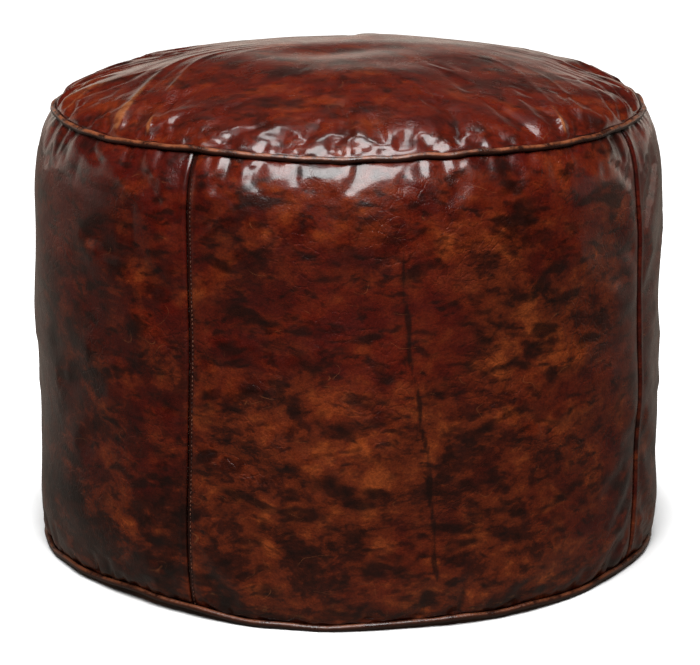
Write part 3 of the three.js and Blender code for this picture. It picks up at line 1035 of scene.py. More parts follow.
@dataclass
class StuffedShape:
    """The outside of the filled cover, in millimetres, as functions of the angle and height or radius.

    Attributes:
        upper_radius: radius of the seam between crown and side.
        lower_radius: radius of the seam between base and side.
        upper_height: height of the upper piping.
        lower_height: height of the lower piping.
        top: height of the crown's middle.
        bulge: how far the side stands out past the lower seam at half height.
        taper: how much the side narrows from half height to the top.
        shoulder_power: how square its shoulders are.
        roll: how far the hide sinks beside the piping, and how wide that dip is.
        crown_power: how flat the crown's middle is.
        puff: height, width and length of the crown's cushion-like swelling inside its rim.
        half_seam: from a piping's middle to the leather beside it.
        first_seam: angle of the first upright seam.
        lift: centre, half width and height of the stretch where the lower piping lifts off the floor.
        side_gathers: folds of the side below the upper seam.
        foot_gathers: folds of the side above the lower seam.
        crown_gathers: folds of the crown.
        side_lumps: soft hills of the side.
        crown_lumps: soft hills of the crown.
    """

    upper_radius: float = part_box("crown_panel")[1].x / MM
    lower_radius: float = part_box("base_panel_back")[1].x / MM
    upper_height: float = sum(c.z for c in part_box("upper_piping_cord")) / 2 / MM
    lower_height: float = sum(c.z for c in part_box("lower_piping_cord")) / 2 / MM
    top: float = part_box("crown_panel")[1].z / MM
    bulge: float = 5.5
    taper: float = 3.0
    shoulder_power: float = 8.0
    roll: tuple[float, float] = (3.0, 7.0)
    crown_power: float = 2.4
    puff: tuple[float, float, float] = (13.0, 14.0, 50.0)
    half_seam: float = 1.15
    first_seam: float = math.radians(-28.0)
    lift: tuple[float, float, float] = (math.radians(-40.0), math.radians(17.0), 4.5)
    side_gathers: Gathers = Gathers(31, ((30, 1.5, 34.0), (67, 1.3, 18.0), (139, 0.9, 9.0)))
    foot_gathers: Gathers = Gathers(57, ((27, 1.5, 44.0), (62, 1.0, 20.0), (118, 0.5, 9.0)))
    crown_gathers: Gathers = Gathers(83, ((26, 1.4, 60.0), (57, 1.3, 28.0), (118, 1.0, 12.0)), 1.1, 1.0)
    side_lumps: Sequence[Lumps] = (Lumps(5, 210.0, 1.3), Lumps(6, 85.0, 0.4))
    crown_lumps: Sequence[Lumps] = (Lumps(8, 190.0, 1.2), Lumps(9, 80.0, 0.4))

    def upper_path(self, angle: Array) -> tuple[Array, Array]:
        """The upper seam: a true ring with a slow and a quick waver.

        Args:
            angle: angles round the pouf.

        Returns:
            Radius and height at each angle.
        """
        out = Ripple(11, (2, 9), 0.9)(angle) + Ripple(12, (14, 40), 0.25)(angle)
        up = Ripple(13, (2, 8), 0.9)(angle) + Ripple(14, (14, 44), 0.35)(angle)
        return self.upper_radius + out, self.upper_height + up

    def lower_path(self, angle: Array) -> tuple[Array, Array]:
        """The lower seam: a ring with a waver, which lifts off the floor in places.

        Args:
            angle: angles round the pouf.

        Returns:
            Radius and height at each angle.
        """
        out = Ripple(21, (2, 9), 1.2)(angle) + Ripple(22, (12, 36), 0.4)(angle)
        up = 0.9 + Ripple(23, (3, 11), 0.7)(angle) + Ripple(24, (14, 36), 0.5)(angle)
        middle, half_width, height = self.lift
        apart = angle_between(angle, middle)
        up = up + height * np.exp(-((apart / half_width) ** 2))
        return self.lower_radius + out, self.lower_height + np.maximum(up, -1.2)

    def side_ends(self) -> tuple[float, float]:
        """Heights of the side's lower and upper ends, beside the pipings."""
        return self.lower_height + self.half_seam, self.upper_height - self.half_seam

    def plain_side(self, height: Array) -> Array:
        """Radius of the side before any folds.

        It is a straight taper, less a drop to each seam that goes with a high power of the distance from
        half height, plus a small roll beside each piping.

        Args:
            height: heights above the floor.

        Returns:
            The radius at each height.
        """
        low, high = self.side_ends()
        share = np.clip(2.0 * (height - low) / (high - low) - 1.0, -1.0, 1.0)
        body = self.lower_radius + self.bulge - self.taper * share
        end = np.where(share > 0.0, self.upper_radius, self.lower_radius)
        drop = self.lower_radius + self.bulge - self.taper * np.sign(share) - end
        depth, width = self.roll
        near = np.minimum(high - height, height - low)
        round_over = depth * (1.0 - np.exp(-near / width)) * np.exp(-near / (4.0 * width))
        return body - drop * np.abs(share) ** self.shoulder_power + round_over

    def plain_crown(self, radius: Array) -> Array:
        """Height of the crown before any folds: a power of the radius, plus a swelling inside the rim.

        Args:
            radius: distances from the axis.

        Returns:
            The height at each radius.
        """
        edge = self.upper_height + self.half_seam
        rise = self.top - edge
        distance = np.maximum(self.upper_radius - radius, 0.0)
        height, width, length = self.puff
        puff = height * (1.0 - np.exp(-distance / width)) * np.exp(-distance / length)
        return edge + rise * (1.0 - (np.clip(radius, 0.0, None) / self.upper_radius) ** self.crown_power) + puff

    def side_folds(self, angle: Array, height: Array) -> Array:
        """Folds of the side, with nothing at the two seams.

        Args:
            angle: angles round the pouf.
            height: heights above the floor.

        Returns:
            How far the hide stands out.
        """
        above = height - self.lower_height
        below = self.upper_height - height
        return self.side_gathers(angle, below) + self.foot_gathers(angle, above)

    def side_hills(self, angle: Array, height: Array) -> Array:
        """Soft hills of the side, with nothing at the two seams."""
        near = np.minimum(height - self.lower_height, self.upper_height - height)
        return (1.0 - np.exp(-near / 30.0)) * sum(lump(angle, height) for lump in self.side_lumps)

    def crown_folds(self, angle: Array, radius: Array) -> Array:
        """Folds of the crown, with nothing at its seam and none near its middle."""
        return self.crown_gathers(angle, self.upper_radius - radius) * smooth_step(20.0, 140.0, radius)

    def crown_hills(self, angle: Array, radius: Array) -> Array:
        """Soft hills of the crown, with nothing at its seam.

        Args:
            angle: angles round the pouf.
            radius: distances from the axis.

        Returns:
            The height of the hills.
        """
        x, y = radius * np.sin(angle), -radius * np.cos(angle)
        fade = 1.0 - np.exp(-(self.upper_radius - radius) / 30.0)
        return fade * sum(lump.flat(x, y) for lump in self.crown_lumps)


@dataclass
class SideWall:
    """The four side panels, their rolled seams and the rows of stitches beside them.

    Attributes:
        shape: the stuffed outline.
        wardrobe: the finishes.
        panels: the panels' names, from the first seam round.
        hide_tones: how much paler or darker each panel's hide is dyed; the left panel's much darker value is painted
            shade on the side turned from the lights.
        thickness: of the leather.
        pull_in: how deep the seams are pulled in, and how wide that valley is.
        roll: radius of the rolled edges.
        turn_in: how far the edges run inwards at the piped seams.
        cell: size of a grid cell.
        stitch_offset: from a seam to its row of stitches.
        stitch_pitch: distance between stitches.
        stitch_length: length of a stitch.
        thread: radius of the thread.
        cloth: how the side settles.
        rounds: points round the sheet that settles.
        sheet_rows: its points from foot to top.
        still: distances from a seam at which its movement begins and is whole.
        stitch_clear: from a row of stitches to the pipings.
        levels: the settling sheet's heights, filled in by settle.
        puckers: how far it moved, filled in by settle.
    """

    shape: StuffedShape
    wardrobe: Wardrobe
    panels: tuple[str, ...] = ("front", "right", "back", "left")
    hide_tones: tuple[float, ...] = (0.0, -0.012, -0.005, -0.055)
    thickness: float = 1.2
    pull_in: tuple[float, float] = (2.6, 15.0)
    roll: float = 1.4
    turn_in: float = 8.0
    cell: float = 2.3
    stitch_offset: float = 3.4
    stitch_pitch: float = 3.6
    stitch_length: float = 2.5
    thread: float = 0.42
    cloth: ClothPass = ClothPass()
    rounds: int = 240
    sheet_rows: int = 54
    still: tuple[float, float] = (1.5, 22.0)
    stitch_clear: float = 7.0
    levels: Array = field(init=False)
    puckers: Array = field(init=False)

    def settle(self) -> None:
        """Simulates the whole side as one sheet, held at the piped seams and at the upright ones."""
        shape = self.shape
        low, high = shape.side_ends()
        share = np.linspace(-1.0, 1.0, self.sheet_rows)
        self.levels = (low + high) / 2.0 + (high - low) / 2.0 * np.sin(share * np.pi / 2.0)
        angle = round_angles(self.rounds)
        grid_angle, height = np.meshgrid(angle, self.levels, indexing="ij")
        radius = shape.plain_side(height) + FOLDS_BEFORE_SETTLING * shape.side_folds(grid_angle, height)
        held = np.zeros(height.shape, dtype=bool)
        held[:, [0, -1]] = True
        for number in range(len(self.panels)):
            held |= np.abs(angle_between(grid_angle, self.seam_angle(number, height))) < np.pi / self.rounds
        self.puckers = self.cloth.puckers("side_sheet", grid_angle, ring_points(grid_angle, radius, height), held)

    def pucker(self, angle: Array, height: Array) -> Array:
        """The simulated movement between its points, with none at the upright seams.

        Args:
            angle: angles round the pouf.
            height: heights above the floor.

        Returns:
            Its parts outwards, sideways and up.
        """
        row = np.mod(angle, FULL_TURN) / FULL_TURN * self.puckers.shape[0]
        column = np.interp(height, self.levels, np.arange(self.levels.size))
        moved = sample_grid(self.puckers, row, column)
        for number in range(len(self.panels)):
            apart = np.abs(angle_between(angle, self.seam_angle(number, height)))
            moved = moved * smooth_step(*self.still, apart * self.shape.lower_radius)[..., None]
        return moved

    def seam_angle(self, number: int, height: Array) -> Array:
        """Where a seam runs: a quarter turn on from the last, with a slight curve of three sines.

        Args:
            number: which seam.
            height: heights above the floor.

        Returns:
            The angle at each height.
        """
        rng = np.random.default_rng(100 + number % len(self.panels))
        phase = rng.uniform(0.0, 2.0 * np.pi, 3)
        bend = sum(0.9 / (k + 1) * np.sin((k + 1) * height / 110.0 + phase[k]) for k in range(3))
        quarter = 2.0 * np.pi / len(self.panels)
        return self.shape.first_seam + number * quarter + bend / self.shape.lower_radius

    def seam_profile(self, offset: Array, stitched: bool) -> Array:
        """How the hide stands beside a seam.

        Args:
            offset: distance from the seam.
            stitched: True for the panel that the stitches go through, which lies in a narrow channel
                there, and False for its neighbour, whose edge rolls up into a bead.

        Returns:
            Height over the plain surface: a Gaussian valley, with the channel or the bead in it.
        """
        depth, width = self.pull_in
        valley = -depth * np.exp(-((offset / width) ** 2))
        if stitched:
            return valley - 1.4 * (1.0 - smooth_step(4.0, 6.6, offset))
        return valley + 1.5 * np.exp(-(((offset - 2.8) / 1.7) ** 2))

    def surface(self, number: int, across: Array, height: Array) -> tuple[Array, Array, Array]:
        """A panel's outer surface.

        Args:
            number: which panel.
            across: distance across the panel from its first seam, as a share from 0 to 1.
            height: height above the floor.

        Returns:
            Angle, radius and fine relief at each point, which sets painted shade in hollows and channels, and rub wear
            with a painted highlight on ridges and beads.
        """
        first = self.seam_angle(number, height)
        last = self.seam_angle(number + 1, height)
        angle = first + across * (last - first)
        width = (last - first) * self.shape.lower_radius
        stitched = number % 2 == 0
        seam = self.seam_profile(across * width, stitched) + self.seam_profile((1.0 - across) * width, stitched)
        folds = self.shape.side_folds(angle, height)
        hills = self.shape.side_hills(angle, height)
        wander_top = self.shape.upper_path(angle)[0] - self.shape.upper_radius
        wander_foot = self.shape.lower_path(angle)[0] - self.shape.lower_radius
        follow = wander_top * np.exp(-np.maximum(self.shape.upper_height - height, 0.0) / 25.0)
        follow = follow + wander_foot * np.exp(-np.maximum(height - self.shape.lower_height, 0.0) / 25.0)
        ends = 1.0 - np.exp(-np.minimum(self.shape.upper_height - height, height - self.shape.lower_height) / 10.0)
        seam = seam * np.clip(0.35 + 0.65 * ends, 0.35, 1.0)
        offset = np.minimum(across, 1.0 - across) * width
        # The stitch channel's low relief is painted dark as shade; the bead's high relief is painted lighter, as rub
        # wear and highlight.
        lane = -1.6 * (1.0 - smooth_step(3.2, 5.6, offset))
        bead = 2.4 * np.exp(-(((offset - 2.6) / 1.1) ** 2))
        relief = np.minimum(folds, 0.6) + (lane if stitched else bead)
        # The spine crease's painted shade is taken off the relief, which darkens it.
        spine, ridge = self.spine(angle, height) if number == 0 else (0.0, 0.0)
        out = self.pucker(angle, height)[..., 0]
        radius = self.shape.plain_side(height) + folds + hills + seam + follow + ridge + out
        return angle, radius, relief - spine + 0.3 * out

    def spine(self, angle: Array, height: Array) -> tuple[Array, Array]:
        """The hide's backbone line, a faint crease down the front panel, painted dark as shade.

        Args:
            angle: angles of the points.
            height: heights of the points.

        Returns:
            The crease's painted shade and the height of the soft ridge that it runs along.
        """
        below = self.shape.upper_height - height
        middle = 0.112 + 0.171 * below / self.shape.upper_height + 0.006 * np.sin(below / 31.0)
        middle = middle + 0.004 * np.sin(below / 9.0)
        apart = (angle - middle) * self.shape.lower_radius
        along = smooth_step(30.0, 110.0, below) * smooth_step(10.0, 60.0, height)
        patchy = np.clip(0.75 + 0.4 * np.sin(below / 23.0) * np.sin(below / 7.3), 0.5, 1.0)
        line = np.exp(-((apart / 1.8) ** 2)) + 0.3 * np.exp(-((apart / 6.0) ** 2))
        return 1.9 * along * patchy * line, along * (0.9 * np.exp(-((apart / 9.0) ** 2)) - 0.6 * line)

    def edge_roll(self) -> tuple[Array, Array]:
        """A quarter round, carried on straight down into the seam.

        Returns:
            Distances from the seam, and depths under the surface, seam first.
        """
        turn = np.linspace(QUARTER_TURN, 0.0, 6)
        offset = self.roll * (1.0 - np.sin(turn)) + 0.15
        depth = self.roll * (1.0 - np.cos(turn))
        return np.concatenate([[0.15], offset]), np.concatenate([[4.0], depth])

    def make_panel(self, number: int) -> bpy.types.Object:
        """One panel: a grid across and up, with rolled upright edges and ends turned in to the piping.

        Args:
            number: which panel.

        Returns:
            The panel.
        """
        shape = self.shape
        width = shape.lower_radius * 2.0 * np.pi / len(self.panels)
        offset, depth = self.edge_roll()
        inner = np.linspace(offset[-1], width - offset[-1], round(width / self.cell))[1:-1]
        across = np.concatenate([offset, inner, width - offset[::-1]]) / width
        sunk = np.concatenate([depth, np.zeros(inner.size), depth[::-1]])
        low, high = shape.side_ends()
        spread = np.linspace(-QUARTER_TURN, QUARTER_TURN, round((high - low) / self.cell))
        climb = 0.5 + 0.35 * spread / QUARTER_TURN + 0.15 * np.sin(spread)
        height = low + (high - low) * climb
        inwards = np.concatenate([[self.turn_in, 2.0], np.zeros(height.size), [2.0, self.turn_in]])
        height = np.concatenate([[low, low], height, [high, high]])
        grid_across, grid_height = np.meshgrid(across, height, indexing="ij")
        angle, radius, relief = self.surface(number, grid_across, grid_height)
        up = (shape.upper_path(angle)[1] - shape.upper_height) * np.exp(-(high - grid_height) / 30.0)
        up = up + (shape.lower_path(angle)[1] - shape.lower_height) * np.exp(-(grid_height - low) / 30.0)
        radius = radius - sunk[:, None] - inwards[None, :]
        points = ring_points(angle, radius, grid_height + up)
        # The rolled edges sinking into the seams get low relief, painted dark as shade.
        relief = relief - sunk[:, None] * 0.8
        name = f"side_leather_{self.panels[number]}"
        # The left panel's darker tone is painted shade.
        tone = np.full(grid_height.shape, self.hide_tones[number])
        made = make_object(name, points, grid_faces(*grid_height.shape), relief=relief, hide_tone=tone)
        thicken(made, self.thickness)
        return made

    def make_stitches(self, number: int) -> bpy.types.Object:
        """A seam's row of stitches, each a small spindle pressed into the panel beside it.

        Args:
            number: which seam.

        Returns:
            The row.
        """
        shape = self.shape
        onto = number if number % 2 == 0 else number - 1
        clear = self.stitch_clear
        height = np.arange(shape.lower_height + clear, shape.upper_height - clear, self.stitch_pitch)
        width = shape.lower_radius * 2.0 * np.pi / len(self.panels)
        share = self.stitch_offset / width
        share = share if number % 2 == 0 else 1.0 - share
        share = np.full(height.shape, share)
        angle, radius, _ = self.surface(onto, share, height)
        above = self.surface(onto, share, height + 1.0)
        middle = ring_points(angle, radius + 0.1, height)
        along = ring_points(above[0], above[1] + 0.1, height + 1.0) - middle
        out = ring_points(angle, np.ones(angle.shape), np.zeros(angle.shape))
        name = f"side_stitches_{number + 1}"
        return spindles(name, middle, along, out, self.stitch_length, self.thread)

    def build(self) -> None:
        """Builds and dresses the panels and the stitches."""
        self.settle()
        for number, panel in enumerate(self.panels):
            leather = self.make_panel(number)
            self.wardrobe.stand_in(leather, f"side_panel_{panel}", Finish.SIDE)
            row = self.make_stitches(number)
            self.wardrobe.stand_in(row, f"side_stitching_{number + 1}", Finish.THREAD)


def spindles(name: str, middle: Array, along: Array, out: Array, length: float, radius: float) -> bpy.types.Object:
    """A row of small spindles, such as stitches.

    A spindle is a circle carried along its axis, with its radius the root of 1 - t^4, so it has round
    ends and an even middle. Its ends dip into the surface by the square of t.

    Args:
        name: the object's name.
        middle: the spindles' middles.
        along: their directions.
        out: the surface's normals there.
        length: their length.
        radius: their radius.

    Returns:
        One object that holds them all.
    """
    along = along / np.linalg.norm(along, axis=-1, keepdims=True)
    out = out - along * np.sum(out * along, axis=-1, keepdims=True)
    out = out / np.linalg.norm(out, axis=-1, keepdims=True)
    side = np.cross(along, out)
    t = np.array([-1.0, -0.86, -0.4, 0.4, 0.86, 1.0])
    turn = np.linspace(0.0, 2.0 * np.pi, 7)[:-1]
    swell = radius * np.sqrt(np.clip(1.0 - t**4, 0.0, None))
    local = np.stack(
        [
            np.broadcast_to((t * length / 2.0)[:, None], (t.size, turn.size)),
            swell[:, None] * np.cos(turn) - (0.35 * radius * t**2)[:, None],
            swell[:, None] * np.sin(turn),
        ],
        axis=-1,
    )
    axes = np.stack([along, out, side], axis=1)
    points = middle[:, None, None, :] + np.einsum("abk,nkc->nabc", local, axes)
    faces = grid_faces(t.size, turn.size, wrap_columns=True)[:, ::-1]
    step = t.size * turn.size
    every = (faces[None] + (np.arange(len(middle)) * step)[:, None, None]).reshape(-1, 4)
    return make_object(name, points, every, merge=True)


@dataclass
class Crown:
    """The round top leather, gathered into the upper seam.

    Attributes:
        shape: the stuffed outline.
        wardrobe: the finishes.
        thickness: of the leather.
        turn_in: how far its edge runs inwards under itself at the seam.
        columns: grid cells round it.
        rows: grid cells from rim to middle.
        cloth: how the crown settles.
        rounds: points round the sheet that settles.
        rings: its rings from rim to middle.
        reach: how far towards the middle it goes, as a share.
        crowding: how much closer the rings lie near the rim, as a power.
        still: radii at which its movement begins and is whole.
    """

    shape: StuffedShape
    wardrobe: Wardrobe
    thickness: float = 1.2
    turn_in: float = 8.0
    columns: int = 760
    rows: int = 118
    cloth: ClothPass = ClothPass(growth=0.035, most=4.2)
    rounds: int = 240
    rings: int = 44
    reach: float = 0.97
    crowding: float = 1.25
    still: tuple[float, float] = (70.0, 190.0)

    def settle(self) -> Array:
        """Simulates the crown as a sheet held at its rim.

        Returns:
            Its puckers.
        """
        shape = self.shape
        angle = round_angles(self.rounds)
        radius = shape.upper_radius * (1.0 - self.reach * np.linspace(0.0, 1.0, self.rings) ** self.crowding)
        grid_angle, grid_radius = np.meshgrid(angle, radius, indexing="ij")
        folds = shape.crown_folds(grid_angle, grid_radius)
        height = shape.plain_crown(grid_radius) + FOLDS_BEFORE_SETTLING * folds
        held = np.zeros(height.shape, dtype=bool)
        held[:, [0, -1]] = True
        return self.cloth.puckers("crown_sheet", grid_angle, ring_points(grid_angle, grid_radius, height), held)

    def build(self) -> None:
        """Builds and dresses the crown: rings from the turned edge up over the rim to the middle."""
        shape = self.shape
        puckers = self.settle()
        angle = round_angles(self.columns)
        radius = shape.upper_radius * (1.0 - np.linspace(0.0, 1.0, self.rows) ** self.crowding)
        edge = shape.upper_height + shape.half_seam
        grid_angle, grid_radius = np.meshgrid(angle, radius, indexing="ij")
        folds = shape.crown_folds(grid_angle, grid_radius)
        hills = shape.crown_hills(grid_angle, grid_radius)
        row, column = np.meshgrid(
            np.arange(self.columns) * self.rounds / self.columns,
            np.linspace(0.0, self.rings - 1.0, self.rows),
            indexing="ij",
        )
        moved = sample_grid(puckers, row, column) * smooth_step(*self.still, grid_radius)[..., None]
        out, up = shape.upper_path(grid_angle)
        near = np.exp(-(shape.upper_radius - grid_radius) / 30.0)
        height = shape.plain_crown(grid_radius) + folds + hills + moved[..., 2] + (up - shape.upper_height) * near
        wide = grid_radius + moved[..., 0] + (out - shape.upper_radius) * near
        bottom = edge + (up - shape.upper_height)[:, :1]
        turned = np.stack([wide[:, 0] - self.turn_in, wide[:, 0] - 1.0], axis=-1)
        wide = np.concatenate([turned, wide], axis=1)
        height = np.concatenate([bottom, bottom, height], axis=1)
        # The turned-in edge under the piping gets low relief, painted dark as shade; folds and puckers set the rest.
        relief = np.concatenate([np.full((self.columns, 2), -3.0), folds + 0.3 * moved[..., 2]], axis=1)
        points = ring_points(np.broadcast_to(angle[:, None], wide.shape), wide, height)
        faces = grid_faces(*wide.shape, wrap_rows=True)
        leather = make_object("crown_leather", points, faces, merge=True, relief=relief)
        thicken(leather, self.thickness)
        self.wardrobe.stand_in(leather, "crown_panel", Finish.CROWN)


@dataclass
class Piping:
    """The two piped seams: a leather strip wrapped round a cord, with its lips in the seam.

    Attributes:
        shape: the stuffed outline.
        wardrobe: the finishes.
        radius: outside of the covered cord.
        cord: radius of the cord.
        stand_off: from the seam to the piping's middle.
        lips: how far the strip's lips run into the seam.
        steps: cells round the pouf.
    """

    shape: StuffedShape
    wardrobe: Wardrobe
    radius: float = 2.5
    cord: float = 1.5
    stand_off: float = 2.4
    lips: float = 8.0
    steps: int = 900

    def ring(self, name: str, path: Callable[[Array], tuple[Array, Array]], section: Array, grow: Array,
             worn: float) -> bpy.types.Object:
        """Carries a closed section round a path.

        Args:
            name: the object's name.
            path: radius and height of the seam at each angle.
            section: outward and upward offsets from the piping's middle.
            grow: a factor on the section at each step round.
            worn: how strong the copper wear and painted highlight along its crest are.

        Returns:
            The ring, with how far each point faces up and out stored as crest.
        """
        angle = round_angles(self.steps)
        radius, height = path(angle)
        out = (radius + self.stand_off)[:, None] + section[None, :, 0] * grow[:, None]
        up = height[:, None] + section[None, :, 1] * grow[:, None]
        points = ring_points(np.broadcast_to(angle[:, None], out.shape), out, up)
        # The crest, the face turned up and out, carries copper wear and a painted highlight.
        crest = (0.55 * section[:, 0] + 0.83 * section[:, 1]) / np.hypot(section[:, 0], section[:, 1])
        crest = np.broadcast_to(worn * crest[None, :], out.shape)
        faces = grid_faces(*out.shape, wrap_rows=True, wrap_columns=True)
        return make_object(name, points, faces, crest=crest)

    def build(self) -> None:
        """Builds and dresses both pipings and their cords."""
        turn = np.linspace(-np.pi + 0.3, np.pi - 0.3, 17)
        circle = self.radius * np.stack([np.cos(turn), np.sin(turn)], axis=-1)
        lip = np.array([[-self.lips, 0.7], [-self.lips, -0.7]])
        strip = np.concatenate([circle, lip])
        round_cord = self.cord * np.stack([np.cos(turn), np.sin(turn)], axis=-1)
        angle = round_angles(self.steps)
        paths = (("upper", self.shape.upper_path, 1.0), ("lower", self.shape.lower_path, 0.8))
        for number, (name, path, worn) in enumerate(paths):
            uneven = 1.0 + Ripple(40 + number, (20, 90), 0.035)(angle)
            cover = self.ring(f"{name}_piping_leather", path, strip, uneven, worn)
            self.wardrobe.stand_in(cover, f"{name}_piping_cover", Finish.PIPING)
            core = self.ring(f"{name}_cord", path, round_cord, np.ones(self.steps), worn)
            self.wardrobe.stand_in(core, f"{name}_piping_cord", Finish.CORD)


@dataclass
class Base:
    """The leather base in two halves, with a zip between them in a shallow recess.

    Attributes:
        shape: the stuffed outline.
        wardrobe: the finishes.
        thickness: of the leather.
        recess_depth: height of the recess over the floor.
        recess_half: half the length and half the width of its roof.
        recess_slope: how far its walls lean out.
        slot_half: half the length and half the width of the opening over the chain.
        zip_stitch_offset: from the opening's edge to the row of stitches.
        coil_turns: turns of each coil.
    """

    shape: StuffedShape
    wardrobe: Wardrobe
    thickness: float = 1.2
    recess_depth: float = 7.5
    recess_half: tuple[float, float] = (205.0, 23.0)
    recess_slope: float = 14.0
    slot_half: tuple[float, float] = (185.3, 6.5)
    zip_stitch_offset: float = 3.4
    coil_turns: int = 236

    def underside(self, x: Array, y: Array) -> Array:
        """Height of the base's lower face: a smooth step up into the recess, and slight creases.

        Args:
            x: distances to the right.
            y: distances to the back.

        Returns:
            The height at each point.
        """
        past_x = np.abs(x) - self.recess_half[0]
        past_y = np.abs(y) - self.recess_half[1]
        past = np.hypot(np.maximum(past_x, 0.0), np.maximum(past_y, 0.0))
        rise = self.recess_depth * (1.0 - smooth_step(0.0, self.recess_slope, past))
        angle = np.arctan2(x, -y)
        crease = Lumps(71, 60.0, 0.25)(angle, np.hypot(x, y)) + 0.5
        return rise + np.clip(crease, 0.12, 1.2) * (1.0 - rise / self.recess_depth)

    def make_half(self, side: int) -> bpy.types.Object:
        """One half of the base, as rows from the zip's opening out to the rim.

        Args:
            side: -1 for the front, 1 for the back.

        Returns:
            The half.
        """
        share = np.sin(np.linspace(-np.pi / 2.0, np.pi / 2.0, 300))
        x = share * self.shape.lower_radius
        rim = np.sqrt(np.maximum(self.shape.lower_radius**2 - x**2, 0.0))
        open_part = 1.0 - smooth_step(self.slot_half[0] - 0.5, self.slot_half[0] + 0.5, np.abs(x))
        start = np.minimum(0.15 + (self.slot_half[1] - 0.15) * open_part, rim)
        v = np.linspace(0.0, 1.0, 130)
        y = start[:, None] + (rim - start)[:, None] * v[None, :]
        x2 = np.broadcast_to(x[:, None], y.shape)
        angle = np.arctan2(x2, -y * side)
        lift = (self.shape.lower_path(angle)[1] - self.shape.lower_height) + 1.6
        reach = np.hypot(x2, y) / self.shape.lower_radius
        z = self.underside(x2, y) + np.maximum(lift, 0.0) * smooth_step(0.955, 1.0, reach)
        wide = 1.0 + (self.shape.lower_path(angle)[0] / self.shape.lower_radius - 1.0) * smooth_step(0.9, 1.0, reach)
        points = np.stack([x2 * wide, side * y * wide, z], axis=-1)
        faces = grid_faces(*y.shape)
        if side > 0:
            faces = faces[:, ::-1]
        name = "base_leather_back" if side > 0 else "base_leather_front"
        made = make_object(name, points, faces, relief=np.zeros(y.shape))
        thicken(made, self.thickness)
        return made

    def make_coil(self, side: int) -> bpy.types.Object:
        """One coil: a flat helix along X, whose outer part hooks towards the other coil.

        Args:
            side: -1 for the front, 1 for the back.

        Returns:
            The coil.
        """
        low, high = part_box("zip_coil_back")
        length = (high.x - low.x) / MM
        half_width = (high.y - low.y) / 2 / MM
        half_height = (high.z - low.z) / 2 / MM
        middle_y = side * (high.y + low.y) / 2 / MM
        middle_z = (high.z + low.z) / 2 / MM
        wire = 0.38
        turn = np.linspace(0.0, 2.0 * np.pi * self.coil_turns, self.coil_turns * 10 + 1)
        x = (turn / turn[-1] - 0.5) * (length - 2.0 * wire)
        y = middle_y + side * (half_width - wire) * np.cos(turn)
        z = middle_z + (half_height - wire) * np.sin(turn)
        path = np.stack([x, y, z], axis=-1)
        ahead = np.gradient(path, axis=0)
        ahead /= np.linalg.norm(ahead, axis=-1, keepdims=True)
        out = np.stack([np.zeros_like(turn), side * np.cos(turn), np.sin(turn)], axis=-1)
        other = np.cross(ahead, out)
        around = np.linspace(0.0, 2.0 * np.pi, 6)[:-1]
        points = path[:, None, :] + wire * (
            np.cos(around)[None, :, None] * out[:, None, :] + np.sin(around)[None, :, None] * other[:, None, :]
        )
        faces = grid_faces(turn.size, around.size, wrap_columns=True)
        name = "zip_coil_turns_back" if side > 0 else "zip_coil_turns_front"
        made = make_object(name, points, faces)
        outward_normals(made)
        return made

    def make_stitches(self, side: int) -> bpy.types.Object:
        """The stitches that hold a tape to the base, beside the opening.

        Args:
            side: -1 for the front, 1 for the back.

        Returns:
            The row.
        """
        x = np.arange(-self.slot_half[0] + 2.0, self.slot_half[0] - 2.0, 4.0)
        y = np.full(x.shape, side * (self.slot_half[1] + self.zip_stitch_offset))
        z = self.underside(x, np.abs(y)) - 0.1
        along = np.tile([1.0, 0.0, 0.0], (x.size, 1))
        out = np.tile([0.0, 0.0, -1.0], (x.size, 1))
        name = "zip_stitches_back" if side > 0 else "zip_stitches_front"
        return spindles(name, np.stack([x, y, z], axis=-1), along, out, 2.8, 0.4)

    def build(self) -> None:
        """Builds and dresses the base, the stitches and the zip."""
        for side, name in ((-1, "front"), (1, "back")):
            half = self.make_half(side)
            self.wardrobe.stand_in(half, f"base_panel_{name}", Finish.BASE)
            self.wardrobe.stand_in(self.make_stitches(side), f"zip_stitching_{name}", Finish.THREAD)
            self.wardrobe.stand_in(self.make_coil(side), f"zip_coil_{name}", Finish.COIL)
            self.wardrobe.dress(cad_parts[f"zip_tape_{name}"], Finish.TAPE)
            self.make_metal(f"zip_top_stop_{name}", 0.5, "cover")
        self.make_metal("zip_bottom_stop", 0.6, "cover")
        self.make_metal("zip_slider", 0.35, "slider")
        self.make_metal("zip_pull", 0.3, "pull")

    def make_metal(self, node: str, bevel: float, body: str) -> None:
        """A cast piece of the zip: the node's own shape with its edges rounded.

        Args:
            node: the node's name.
            bevel: width of the rounding.
            body: the body that it rides on.
        """
        made = rounded_copy(node, bevel)
        self.wardrobe.stand_in(made, node, Finish.METAL, body)


def outward_normals(piece: bpy.types.Object) -> None:
    """Turns a closed mesh's faces to point outwards.

    Args:
        piece: the closed mesh.
    """
    with editing(piece.data) as work:
        bmesh.ops.recalc_face_normals(work, faces=work.faces)


def rounded_copy(node: str, radius: float) -> bpy.types.Object:
    """Copies a node's mesh, joins its triangles into flat faces and rounds its edges.

    Args:
        node: the node's name.
        radius: width of the rounding, in millimetres.

    Returns:
        The copy, named after the node.
    """
    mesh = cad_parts[node].data.copy()
    mesh.materials.clear()
    with editing(mesh) as work:
        bmesh.ops.remove_doubles(work, verts=work.verts, dist=SAME_PLACE)
        bmesh.ops.dissolve_limit(work, angle_limit=math.radians(1.0), verts=work.verts, edges=work.edges)
    made = bpy.data.objects.new(f"{node}_cast", mesh)
    bpy.context.scene.collection.objects.link(made)
    rounding = made.modifiers.new("rounding", "BEVEL")
    rounding.width = radius * MM
    rounding.segments = 3
    rounding.limit_method = "ANGLE"
    rounding.angle_limit = math.radians(40.0)
    return made


